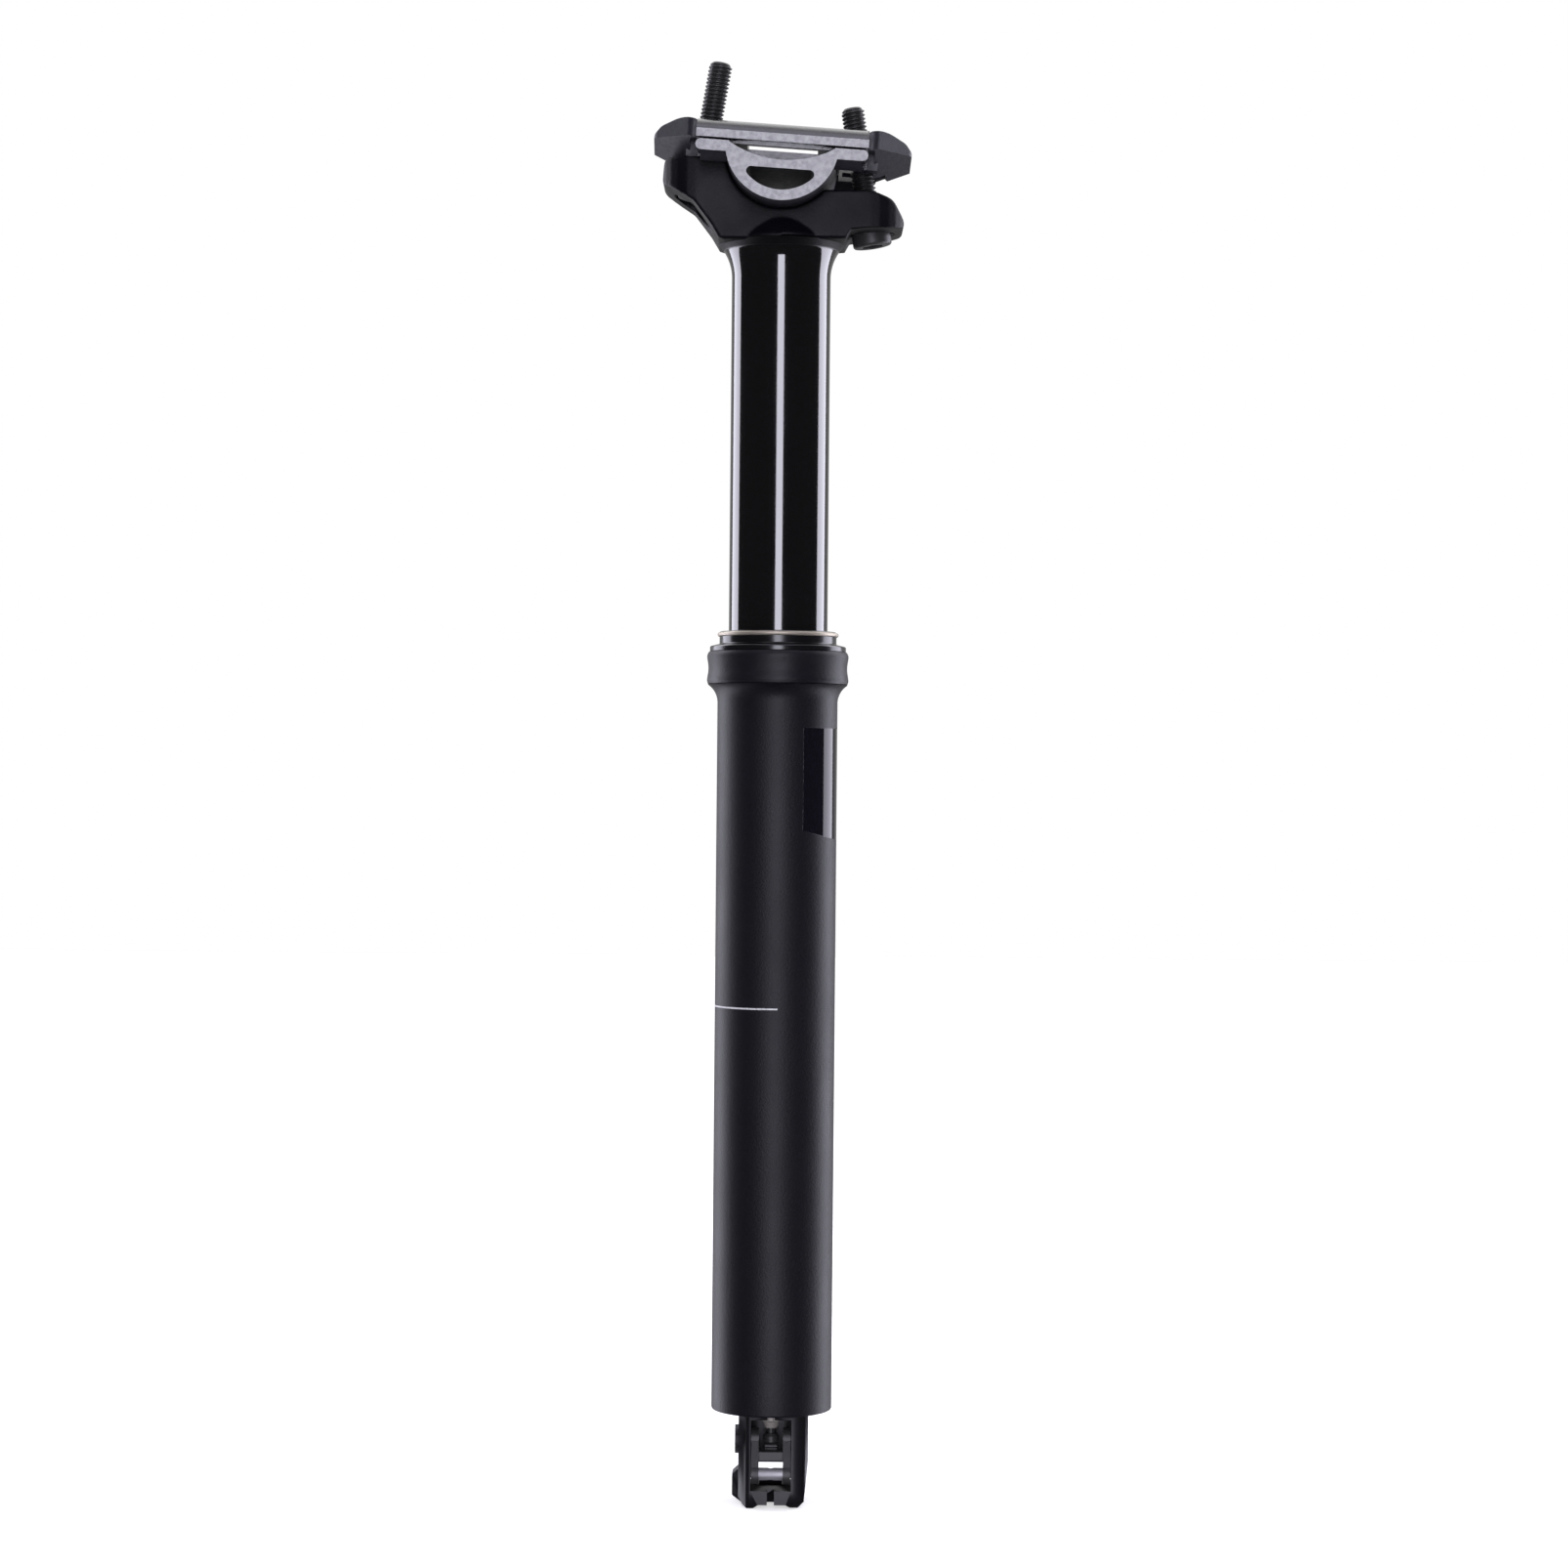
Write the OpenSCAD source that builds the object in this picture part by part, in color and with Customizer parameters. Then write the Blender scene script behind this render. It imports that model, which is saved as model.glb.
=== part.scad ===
// Telescoping bicycle seatpost with a height release at its foot, millimetres.
// The origin is the centre of the outer tube's bottom rim; +Z runs up the post and +X points to the front.

/* [Fits] */
// Radial clearance of every sliding, turning or pressed round fit
run_gap = 0.05; // [0.04:0.01:0.08]
// Air between moving pieces that pass without touching
air_gap = 0.35; // [0.3:0.05:0.5]

/* [Outer tube] */
// Outside diameter, which the seat tube of a frame holds
tube_d = 30.9; // [30.4:0.1:31.6]
// Bore diameter
tube_bore_d = 28.2; // [28:0.1:28.6]
// Length of the plain tube below its flare
tube_len = 181.4; // [175:1:200]
// Radius of the hollow curve of the flare
flare_curve = 5.5; // [4:0.5:8]
// Diameter of the threaded neck under the collar
neck_d = 32; // [31.6:0.1:32.6]
// Length of the threaded neck
neck_len = 6; // [5:0.5:7]
// Rounding of the bottom rim
rim_round = 0.5; // [0.3:0.1:1.2]

/* [Collar and wiper] */
// Diameter over the collar's two ridges
collar_d = 36.5; // [35.5:0.1:38]
// Height of the collar
collar_h = 8.4; // [7.5:0.1:10]
// Depth of the hollow between the ridges
collar_waist = 0.35; // [0.1:0.05:0.6]
// Diameter of the wiper's flange
wiper_d = 35; // [34:0.1:35.4]
// Height of the wiper above the collar
wiper_h = 5.2; // [4.8:0.1:6]
// Thickness of the garter ring round the wiper's lip
garter_wire = 1.1; // [0.8:0.1:1.2]

/* [Guides] */
// Distance that the post drops
travel = 90; // [75:5:90]
// Length of the bushing in the mouth of the outer tube
upper_bushing_len = 20; // [14:1:24]
// Length of the bushing on the inner tube's lower end
lower_bushing_len = 18; // [14:1:22]
// Width of a guide key
key_w = 3; // [2.5:0.1:3.5]
// Length of a guide key
key_len = 10; // [8:1:12]
// Depth of the key grooves in the outer tube
key_groove = 0.5; // [0.4:0.05:0.6]
// Depth of the key pockets in the inner tube
key_pocket = 1.1; // [0.8:0.1:1.2]
// Number of guide keys
key_count = 3; // [3:1:4]

/* [Inner tube] */
// Outside diameter
slider_d = 25.4; // [25.2:0.1:25.6]
// Bore diameter
slider_bore_d = 21.4; // [21.3:0.1:21.8]
// Plain tube left between the wiper and the flare of the head when the post is down
top_spare = 0.85; // [0.6:0.05:2]
// Diameter of the head's foot
foot_d = 32.6; // [31.5:0.1:33]
// Height of the curve from the tube to the head's foot
foot_rise = 8.8; // [7:0.1:10]

/* [Cartridge] */
// Outside diameter of the cartridge tube
cartridge_d = 20; // [19.6:0.1:20.6]
// Bore of the cartridge tube
cartridge_bore_d = 18; // [17.4:0.1:18.4]
// Length of the gland inside the cartridge tube
gland_len = 9; // [7:1:12]
// Thickness of the gland's flange
gland_flange = 3; // [2:0.5:4]
// Thickness of the retaining ring
ring_t = 1.2; // [1:0.1:1.4]
// Length of the cartridge's top cap
cap_len = 6; // [5:1:8]
// Diameter of the shaft
shaft_d = 9; // [8:0.5:10]
// Bore of the shaft
shaft_bore_d = 4.2; // [3.6:0.1:4.6]
// Diameter of the shaft's threaded lower end
stub_d = 7; // [6.5:0.1:7.4]
// Length of the main piston
piston_len = 7; // [6:0.5:9]
// Length of the floating piston between gas and oil
float_len = 10; // [8:1:12]
// Length of oil left between the two pistons when the post is down
oil_spare = 8; // [5:1:14]
// Width of the seal rings' grooves
seal_w = 2.4; // [2:0.1:2.8]
// Depth of the seal rings' grooves
seal_depth = 1.9; // [1.5:0.1:2]
// Thickness of the base plug
plug_t = 6; // [5:0.5:7]
// Depth of the recess below the base plug
recess_h = 4; // [3.5:0.5:5]
// Thickness of the bump stop
bumper_t = 3.7; // [2:0.1:3.7]

/* [Saddle clamp] */
// Height of the tilt axis above the foot of the head
axis_rise = 21.8; // [21.5:0.1:23]
// Tilt of the clamp as it stands, front side down, in degrees
rest_tilt = 3.7; // [2:0.1:5]
// Tilt that can be added, front side down, in degrees
tilt_range = 15; // [8:1:15]
// Diameter of the saddle's rails
rail_d = 7; // [6.8:0.1:7.2]
// Distance between the rails
rail_space = 44; // [43:0.5:45]
// Length of the clamp along the rails
grip_len = 43.4; // [42:0.2:45]
// Width over the clamp's machined end faces
clamp_w = 52; // [51:0.5:54]
// Radius of the cradle's round underside, which rocks in the head
cradle_r = 14.3; // [13.8:0.1:14.6]
// Thickness of the cradle's round wall
cradle_wall = 2.6; // [2:0.1:3]
// Radius of the dip in the cradle's top
dip_r = 26; // [22:1:30]
// Depth of the dip's lowest point below the tilt axis
dip_depth = 4.2; // [3.8:0.1:4.6]
// Thickness of the cradle's web below the dip
web_t = 2.1; // [1.6:0.1:2.6]
// Wall of the cradle under the rails
shell_t = 1.45; // [1.2:0.05:1.6]
// Half the gap between the two halves of the clamp
split_gap = 0.3; // [0.2:0.05:0.5]
// Radius of the upper clamp's round back over each rail
back_r = 7.2; // [6.8:0.1:7.6]
// Height of that round back above the tilt axis
back_top = 5.5; // [5.3:0.1:6]
// Distance of the round back's crest inside the rail
back_inset = 2; // [1.5:0.1:2.4]
// Thickness of the upper clamp's web
bridge_t = 3; // [2.4:0.1:3.4]
// Depth of the upper clamp's web below the crest of its round backs
bridge_drop = 1.1; // [0.8:0.1:1.4]
// Half width of the upper clamp's noses
nose_w = 17; // [16:0.5:17.5]
// Length of the noses beyond the grip
nose_len = 11.3; // [9.5:0.1:12.5]

/* [Clamp bolts] */
// Thread diameter of the bolts
bolt_d = 6; // [5.6:0.1:6]
// Length of the bolts under their heads
bolt_len = 30; // [28:1:35]
// Diameter of the bolt heads
bolt_head_d = 10; // [9.6:0.1:10.2]
// Height of the bolt heads
bolt_head_h = 6; // [5:0.5:6]
// Hexagon of the socket, across its flats
socket_af = 5; // [4:0.5:5]
// Depth of the socket
socket_depth = 3; // [2:0.5:3.5]
// Distance of the nuts from the tilt axis, along the rails
nut_x = 19.7; // [19.4:0.1:20]
// Height of the nuts above the tilt axis
nut_z = 2.4; // [2.3:0.1:2.7]
// Diameter of the barrel nuts
nut_d = 8; // [7.8:0.1:8.1]
// Length of the barrel nuts
nut_len = 18; // [14:1:18]
// Radius of the round side of the washers
washer_r = 9; // [8.5:0.5:10]
// Diameter of the washers
washer_d = 10.4; // [10:0.1:10.6]

/* [Head] */
// Width of the head's two arms, across the rails' direction
head_w = 28; // [26:0.5:28.5]
// Reach of the rear arm
rear_reach = 30.6; // [30:0.2:33]
// Reach of the front arm
front_reach = 31.3; // [31:0.2:34]
// Depth of the rear arm's deck below the tilt axis
rear_deck = 1.6; // [1.4:0.1:2]
// Depth of the front arm's deck below the tilt axis
front_deck = 9.6; // [9:0.1:10]
// Depth of the rear bolt's seat below the tilt axis, at the bolt's centre
rear_seat = 4.8; // [4.6:0.1:5]
// Distance of the rear bolt's seat from the tilt axis, along the rails
rear_seat_x = 20.95; // [20.8:0.05:21.1]
// Depth of the front bolt's seat below the tilt axis, at the bolt's centre
front_seat = 16.2; // [15.8:0.1:16.4]
// Distance of the front bolt's seat from the tilt axis, along the rails
front_seat_x = 22.55; // [22.4:0.05:22.7]

/* [Actuator] */
// Height of the actuator below the rim of the outer tube
foot_h = 25.7; // [25:0.1:28]
// Distance of the housing's left cheek from the axis
left_reach = 8.3; // [8:0.1:8.8]
// Distance of the housing's right cheek from the axis
right_reach = 9.5; // [9:0.1:9.8]
// Depth of the housing, front to back
housing_w = 17; // [16:0.5:18]
// Depth of the lever's pivot below the rim
pivot_drop = 7.3; // [7:0.1:7.6]
// Distance of the lever's pivot from the axis
pivot_off = 3.6; // [3.4:0.1:3.8]
// Diameter of the lever's pivot pin
pivot_d = 3; // [2.6:0.1:3]
// Diameter of the boss round the pivot pin
pivot_boss_d = 7.3; // [6.8:0.1:7.4]
// Diameter of the valve pin's head
valve_head_d = 4; // [3.4:0.1:4]
// Diameter of the valve pin's stem
valve_d = 2; // [1.8:0.1:2.2]
// Diameter of the cable barrel
barrel_d = 3.2; // [3:0.1:3.4]
// Bore for the inner cable
cable_d = 1.8; // [1.6:0.1:2]
// Bore for the end of the cable's housing
ferrule_d = 4.2; // [4:0.1:4.4]

/* [Hidden] */
// Faces of round pieces
$fn = 96;
// Overshoot of cuts through a surface
eps = 0.5;
black = [0.09, 0.09, 0.095];
gloss_black = [0.03, 0.03, 0.035];
steel = [0.62, 0.62, 0.6];
alloy = [0.75, 0.75, 0.76];
brass = [0.72, 0.56, 0.25];
rubber = [0.05, 0.05, 0.05];
polymer = [0.85, 0.84, 0.78];

tube_r = tube_d / 2;
tube_bore_r = tube_bore_d / 2;
neck_r = neck_d / 2;
collar_r = collar_d / 2;
collar_edge = 0.5;
// The tube flares out to the collar's own edge
flare_r = collar_r - collar_edge / 2;
flare_h = sqrt(pow(flare_curve, 2) - pow(flare_curve - (flare_r - tube_r), 2));
flare_top = tube_len + flare_h;
neck_top = flare_top + neck_len;
collar_top = flare_top + collar_h;
wiper_r = wiper_d / 2;
wiper_top = collar_top + wiper_h;
slider_r = slider_d / 2;
slider_bore_r = slider_bore_d / 2;

plug_top = recess_h + plug_t;
bumper_top = plug_top + bumper_t;
slider_low = bumper_top + air_gap + travel;
flare_low = wiper_top + travel + top_spare;
foot_z = flare_low + foot_rise;
foot_r = foot_d / 2;
bore_top = flare_low - 0.5;
axis_z = foot_z + axis_rise;

// Each bushing sits in a seat as deep as this
bushing_seat = 0.25;
bushing_low = slider_low + 1.5;
key_low = bushing_low + lower_bushing_len + 2;
key_top = key_low + key_len;
key_groove_top = key_top + 8;
key_groove_w = key_w + 2 * run_gap;

ring_z = slider_low + 0.8;
gland_low = ring_z + ring_t;
cartridge_low = gland_low + gland_flange;
gland_top = cartridge_low + gland_len;
cartridge_r = cartridge_d / 2;
cartridge_bore_r = cartridge_bore_d / 2;
cap_z = bore_top - cap_len;
shaft_r = shaft_d / 2;
shaft_bore_r = shaft_bore_d / 2;
stub_r = stub_d / 2;
tenon_r = shaft_r - 1.2;
piston_z = gland_top + air_gap;
piston_top = piston_z + piston_len;
float_z = piston_top + travel + oil_spare;
stub_low = -1;

rail_r = rail_d / 2;
rail_y = rail_space / 2;
groove_r = rail_r + run_gap;
bolt_r = bolt_d / 2;
head_r = bolt_head_d / 2;
nut_r = nut_d / 2;
// The nuts turn on the bolts' threads, and their bores leave room for the linkage's own error
nut_bore_r = bolt_r + 0.2;
washer_half = washer_d / 2;
washer_rim = sqrt(pow(washer_r, 2) - pow(washer_half, 2));
washer_lip = 0.3;
// The bolts swing about the centres of the washers' round sides
swing_depth = washer_rim - washer_lip;
seat_arc_r = cradle_r + run_gap;

// The garter ring's centre, which the wiper's groove follows
garter_r = slider_r + 2.35;
garter_z = wiper_top - 0.75;

// Radius of the hollow curve from the tube to the head's foot
foot_curve = (pow(foot_rise, 2) + pow(foot_r - slider_r, 2)) / (2 * (foot_r - slider_r));

// Centres of the nuts and of the bolts' seats, from the tilt axis, with the clamp as it stands
nut_angle = atan2(nut_z, nut_x);
nut_far = norm([nut_x, nut_z]);
front_nut_at = nut_far * [cos(nut_angle - rest_tilt), sin(nut_angle - rest_tilt)];
rear_nut_at = nut_far * [-cos(nut_angle + rest_tilt), sin(nut_angle + rest_tilt)];
front_seat_at = [front_seat_x, -front_seat];
rear_seat_at = [-rear_seat_x, -rear_seat];
// The way that a bolt leans, from its seat to its nut, in degrees from upright
function lean(seat, nut) = atan2(nut.x - seat.x, nut.y - seat.y);
front_lean = lean(front_seat_at, front_nut_at);
rear_lean = lean(rear_seat_at, rear_nut_at);
// Swing of each bolt for the whole tilt range, to the nearest constant ratio
front_swing = -0.202 * tilt_range;
rear_swing = 0.125 * tilt_range;
// Depth of the open room under each seat, for the bolt's head and a hexagon key
front_head_room = 9;
rear_head_room = 14;
// Depth of the retaining ring's groove
ring_seat = 0.9;

// Depth of the wings' edge below the tilt axis at the machined end faces
wing_low = sqrt(pow(groove_r + shell_t, 2) - pow(clamp_w / 2 - rail_y, 2));

// Where the noses end, and the keel under each: its inner end, depth, slope and the slope of its sides
nose_reach = grip_len / 2 + nose_len;
keel_x = grip_len / 2 + 1.8;
keel_drop = 5.1;
keel_slope = 23.3;
keel_side = 20.6;
// The boss round each nut, and the height of the web
boss_w = nut_len + 2.4;
boss_in = cradle_r + air_gap + 0.1;
boss_low = nut_z - nut_r - 1;
bridge_top = back_top - bridge_drop;

// The shaft nut's two lower faces, and the height up to which the housing fills the tube's end
nut_low = stub_low - 0.8;
nose_low = nut_low - 3.2;
flange_low = recess_h - 3;
valve_bore_r = valve_d / 2 + run_gap;

// The lever in the housing's slot, with heights measured from the rim
pivot_y = -pivot_off;
pivot_z = -pivot_drop;
slot_half = 5.2;
arm_out = slot_half - 0.2;
arm_in = arm_out - 1.9;
barrel_y = pivot_y - 4;
barrel_z = pivot_z - 8.3;
valve_low = pivot_z - 1.5;
screw_d = 2;
// The housing: its collar in the tube's end, the floor of its slot and the block on that floor
neck_t = 1.7;
slot_floor = 5.5 - foot_h;
block_top = slot_floor + 1.3;
block_half = arm_in - 0.2;
ferrule_y = barrel_y + 1.4;
// The arch between the two feet, and the guard outside the left cheek, with its height above the foot
arch_h = 1;
left_foot_in = 4.4;
right_foot_in = 4.9;
guard_t = 1.6;
guard_w = 7;
guard_low = 3.1;
guard_high = 9.1;

// A ring between two radii
module tube_ring(outer, inner, height) {
    difference() {
        cylinder(r = outer, h = height);
        translate([0, 0, -eps]) cylinder(r = inner, h = height + 2 * eps);
    }
}

// A profile in radius and height, turned about Z
module turned() {
    rotate_extrude() children();
}

// A profile in X and Z, carried along Y
module along_y(width) {
    rotate([90, 0, 0]) linear_extrude(width, center = true) children();
}

// A profile in Y and Z, carried along X
module along_x(length) {
    rotate([90, 0, 90]) linear_extrude(length, center = true) children();
}

// The clamp's own frame: its origin is the tilt axis and its X runs along the rails
module clamp_frame(extra = 0) {
    translate([0, 0, axis_z]) rotate([0, rest_tilt + extra, 0]) children();
}

function unit(v) = v / norm(v);
function turn_by(v, a) = [v.x * cos(a) - v.y * sin(a), v.x * sin(a) + v.y * cos(a)];

// The points of one rounded corner b of radius r between the points a and c
function corner(a, b, c, r, steps = 6) =
    let (u = unit(a - b), v = unit(c - b),
         half = acos(u * v) / 2,
         middle = b + unit(u + v) * r / sin(half),
         start = b + u * r / tan(half) - middle,
         side = u.x * v.y - u.y * v.x > 0 ? -1 : 1,
         sweep = side * (180 - 2 * half))
    r == 0 ? [b] : [for (i = [0:steps]) middle + turn_by(start, sweep * i / steps)];

// An outline of [x, y, radius] corners, with each corner rounded
function rounded(p) = [
    for (i = [0:len(p) - 1])
        let (a = p[(i + len(p) - 1) % len(p)], b = p[i], c = p[(i + 1) % len(p)])
        each corner([a.x, a.y], [b.x, b.y], [c.x, c.y], b.z)
];

// The keys, or their grooves: copies of a block that starts at a radius, spaced evenly
module key_blocks(inner, outer, width, low, height) {
    for (i = [0:key_count - 1])
        rotate([0, 0, 90 + i * 360 / key_count])
            translate([inner, -width / 2, low]) cube([outer - inner, width, height]);
}

module outer_tube() {
    color(black) difference() {
        turned() difference() {
            union() {
                polygon([
                    [tube_bore_r, 0], [tube_r - rim_round, 0], [tube_r, rim_round],
                    [tube_r, tube_len], [flare_r, tube_len], [flare_r, flare_top],
                    [neck_r, flare_top], [neck_r, neck_top], [tube_bore_r, neck_top]
                ]);
                translate([tube_r - rim_round, rim_round]) circle(rim_round);
            }
            translate([tube_r + flare_curve, tube_len]) circle(flare_curve);
            square([tube_bore_r, 2 * rim_round]);
        }
        key_blocks(slider_r, tube_bore_r + key_groove, key_groove_w, -eps, key_groove_top + eps);
    }
}

module seal_collar() {
    waist_r = 30;
    waist_z = flare_top + collar_h / 2;
    color(black) turned() difference() {
        polygon([
            [neck_r + run_gap, flare_top], [flare_r - collar_edge / 2, flare_top],
            [flare_r, flare_top + collar_edge / 2], [collar_r, flare_top + 2 * collar_edge],
            [collar_r, collar_top - 2 * collar_edge], [collar_r - collar_edge, collar_top],
            [neck_r + run_gap, collar_top]
        ]);
        translate([collar_r - collar_waist + waist_r, waist_z]) circle(waist_r, $fn = 360);
    }
}

module upper_bushing() {
    color(polymer) translate([0, 0, neck_top - upper_bushing_len])
        tube_ring(tube_bore_r - run_gap, slider_r + run_gap, upper_bushing_len);
}

module wiper_seal() {
    body_r = neck_r;
    lip_r = slider_r + run_gap;
    relief_r = slider_r + 0.5;
    color(rubber) turned() difference() {
        polygon([
            [lip_r, neck_top], [body_r, neck_top], [body_r, collar_top], [wiper_r, collar_top],
            [wiper_r, collar_top + 1.2], [wiper_r - 0.4, collar_top + 1.6],
            [garter_r, collar_top + 2.1], [garter_r, wiper_top - 0.3], [garter_r - 0.5, wiper_top],
            [lip_r, wiper_top], [lip_r, wiper_top - 1], [relief_r, wiper_top - 2],
            [relief_r, neck_top + 1.5], [lip_r, neck_top + 0.8]
        ]);
        translate([garter_r, garter_z]) circle(garter_wire / 2 + run_gap);
    }
}

module wiper_spring() {
    color(alloy) turned() translate([garter_r, garter_z]) circle(garter_wire / 2);
}

module base_plug() {
    color(alloy) difference() {
        translate([0, 0, recess_h]) cylinder(r = tube_bore_r - run_gap, h = plug_t);
        translate([0, 0, recess_h - eps]) cylinder(r = stub_r + run_gap, h = plug_t + 2 * eps);
    }
}

module bottom_bumper() {
    color(rubber) translate([0, 0, plug_top])
        tube_ring(slider_r - 0.4, shaft_r + 1.5, bumper_t);
}

module cartridge_rod() {
    bottom = stub_low;
    color(steel) difference() {
        union() {
            translate([0, 0, bottom]) cylinder(r = stub_r, h = plug_top - bottom);
            translate([0, 0, plug_top]) cylinder(r = shaft_r, h = piston_z - plug_top);
            // The piston is screwed on this thinner end
            translate([0, 0, piston_z]) cylinder(r = tenon_r, h = piston_len - 1);
        }
        translate([0, 0, bottom - eps]) cylinder(r = shaft_bore_r, h = piston_top - bottom);
    }
}

module main_piston() {
    outer = cartridge_bore_r - 2 * run_gap;
    mid = piston_z + (piston_len - seal_w) / 2;
    color(alloy) difference() {
        translate([0, 0, piston_z]) cylinder(r = outer, h = piston_len);
        translate([0, 0, piston_z - eps]) cylinder(r = tenon_r + run_gap, h = piston_len - 1 + eps);
        translate([0, 0, piston_z]) cylinder(r = shaft_bore_r / 2, h = piston_len + eps);
        translate([0, 0, mid]) tube_ring(outer + eps, outer - seal_depth, seal_w);
    }
}

module piston_seal() {
    mid = piston_z + (piston_len - seal_w) / 2;
    color(rubber) translate([0, 0, mid + run_gap])
        tube_ring(cartridge_bore_r - run_gap, cartridge_bore_r - seal_depth, seal_w - 2 * run_gap);
}

// The frame of a bolt: its origin is the middle of its head's top face, +Z runs up the bolt
module bolt_frame(seat, angle, swing = 0) {
    translate([seat.x, 0, axis_z + seat.y]) rotate([0, angle, 0])
        translate([0, 0, -swing_depth]) rotate([0, swing, 0]) translate([0, 0, swing_depth])
            children();
}

// The room for a bolt, its washer and its head in the head's arm, centred on the bolt's swing
module bolt_room(seat, angle, swing, head_room) {
    bolt_frame(seat, angle, swing / 2) {
        translate([0, 0, -head_room]) cylinder(r = bolt_r + 0.6, h = bolt_len + head_room);
        intersection() {
            translate([0, 0, -head_room]) cylinder(r = washer_half + air_gap + 0.2, h = 2 * head_room);
            union() {
                translate([0, 0, -swing_depth]) sphere(r = washer_r + run_gap);
                translate([0, 0, -head_room]) cylinder(r = 2 * washer_half, h = head_room);
            }
        }
    }
}

// The side view of the head, from the rear arm round its underside to the front arm
module head_outline() {
    front_in = sqrt(pow(seat_arc_r, 2) - pow(front_deck, 2));
    polygon(rounded([
        [1 - cradle_r, -rear_deck, 0],
        [-rear_reach + 0.6, -rear_deck + 0.5, 1.6],
        [-rear_reach, -rear_deck - 6, 2],
        [-rear_reach + 8, -rear_deck - 10.9, 3],
        [-foot_r - 1.9, -axis_rise + 3.5, 5],
        [-foot_r + 0.5, -axis_rise - eps, 0],
        [foot_r - 0.5, -axis_rise - eps, 0],
        [foot_r + 1.5, -axis_rise - 0.4, 0],
        [foot_r + 10.5, -axis_rise + 0.5, 6],
        [front_reach - 0.2, -axis_rise + 2, 1.8],
        [front_reach, -front_deck - 7, 3],
        [front_reach - 3, -front_deck - 2, 4],
        [front_in + 12, -front_deck, 8],
        [front_in - 1, -front_deck, 0]
    ]));
}

// The head seen from above: two arms with round ends
module head_plan() {
    end_r = 9;
    half = head_w / 2;
    polygon(rounded([
        [-rear_reach - 0.3, -half, end_r], [front_reach + 0.3, -half, end_r],
        [front_reach + 0.3, half, end_r], [-rear_reach - 0.3, half, end_r]
    ]));
}

// The tube with the round foot of the head, which narrows to the arms' width
module tube_profile() {
    half = head_w / 2;
    difference() {
        polygon([
            [slider_bore_r, slider_low], [slider_r, slider_low], [slider_r, flare_low],
            [foot_r, flare_low], [foot_r, foot_z + 0.6], [half - 0.5, foot_z + 6],
            [half - 2, foot_z + 7], [0, foot_z + 7], [0, bore_top], [slider_bore_r, bore_top]
        ]);
        translate([slider_r + foot_curve, flare_low]) circle(foot_curve);
        // Seats of the lower bushing and of the retaining ring
        translate([slider_r - bushing_seat, bushing_low]) square([1, lower_bushing_len]);
        translate([slider_bore_r - 1, ring_z]) square([1 + ring_seat, ring_t]);
    }
}

module inner_tube() {
    color(gloss_black) difference() {
        union() {
            turned() tube_profile();
            intersection() {
                translate([0, 0, axis_z]) along_y(head_w) head_outline();
                translate([0, 0, foot_z - 1]) linear_extrude(axis_rise + 2) head_plan();
            }
        }
        // The seat in which the cradle rocks
        translate([0, 0, axis_z]) along_y(head_w + 2 * foot_r) circle(seat_arc_r, $fn = 180);
        key_blocks(slider_r - key_pocket, slider_r + 1, key_w, key_low, key_len);
        // Troughs for the keels of the upper clamp's noses and for the bosses of its nuts
        clamp_frame() mirror([1, 0, 0]) nose_room();
        clamp_frame(tilt_range) nose_room();
        bolt_room(rear_seat_at, rear_lean, rear_swing, rear_head_room);
        bolt_room(front_seat_at, front_lean, front_swing, front_head_room);
    }
}

module lower_bushing() {
    color(polymer) translate([0, 0, bushing_low + run_gap])
        tube_ring(tube_bore_r - run_gap, slider_r - bushing_seat + run_gap, lower_bushing_len - 2 * run_gap);
}

module guide_keys() {
    color(brass) key_blocks(
        slider_r - key_pocket + run_gap, tube_bore_r + key_groove - 2 * run_gap,
        key_w - 2 * run_gap, key_low + run_gap, key_len - 2 * run_gap
    );
}

module cartridge_tube() {
    color(alloy) translate([0, 0, cartridge_low])
        tube_ring(cartridge_r, cartridge_bore_r, cap_z + cap_len / 2 - cartridge_low);
}

module cartridge_gland() {
    mid = cartridge_low + (gland_len - seal_w) / 2;
    bore = shaft_r + run_gap;
    color(black) difference() {
        union() {
            translate([0, 0, gland_low]) cylinder(r = slider_bore_r - run_gap, h = gland_flange);
            translate([0, 0, cartridge_low]) cylinder(r = cartridge_bore_r - run_gap, h = gland_len);
        }
        translate([0, 0, gland_low - eps]) cylinder(r = bore, h = gland_top - gland_low + 2 * eps);
        translate([0, 0, mid]) tube_ring(bore + seal_depth, bore - eps, seal_w);
    }
}

module gland_seal() {
    mid = cartridge_low + (gland_len - seal_w) / 2;
    color(rubber) translate([0, 0, mid + run_gap])
        tube_ring(shaft_r + seal_depth, shaft_r + run_gap, seal_w - 2 * run_gap);
}

module cartridge_cap() {
    color(black) difference() {
        union() {
            translate([0, 0, cap_z - cap_len / 2]) cylinder(r = cartridge_bore_r - run_gap, h = cap_len);
            translate([0, 0, cap_z + cap_len / 2]) cylinder(r = slider_bore_r - run_gap, h = cap_len / 2);
        }
        // The filling hole
        translate([0, 0, cap_z - cap_len]) cylinder(r = 1, h = 2 * cap_len);
    }
}

module retaining_ring() {
    mouth = 3;
    color(steel) translate([0, 0, ring_z]) difference() {
        tube_ring(slider_bore_r + ring_seat - run_gap, shaft_r + 3, ring_t - run_gap);
        // The ring is open, with a hole for the pliers in each end
        translate([0, -mouth / 2, -eps]) cube([slider_r, mouth, ring_t + 2 * eps]);
        for (side = [-1, 1])
            translate([shaft_r + 4.3, side * mouth, -eps]) cylinder(r = 0.6, h = ring_t + 2 * eps);
    }
}

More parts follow.
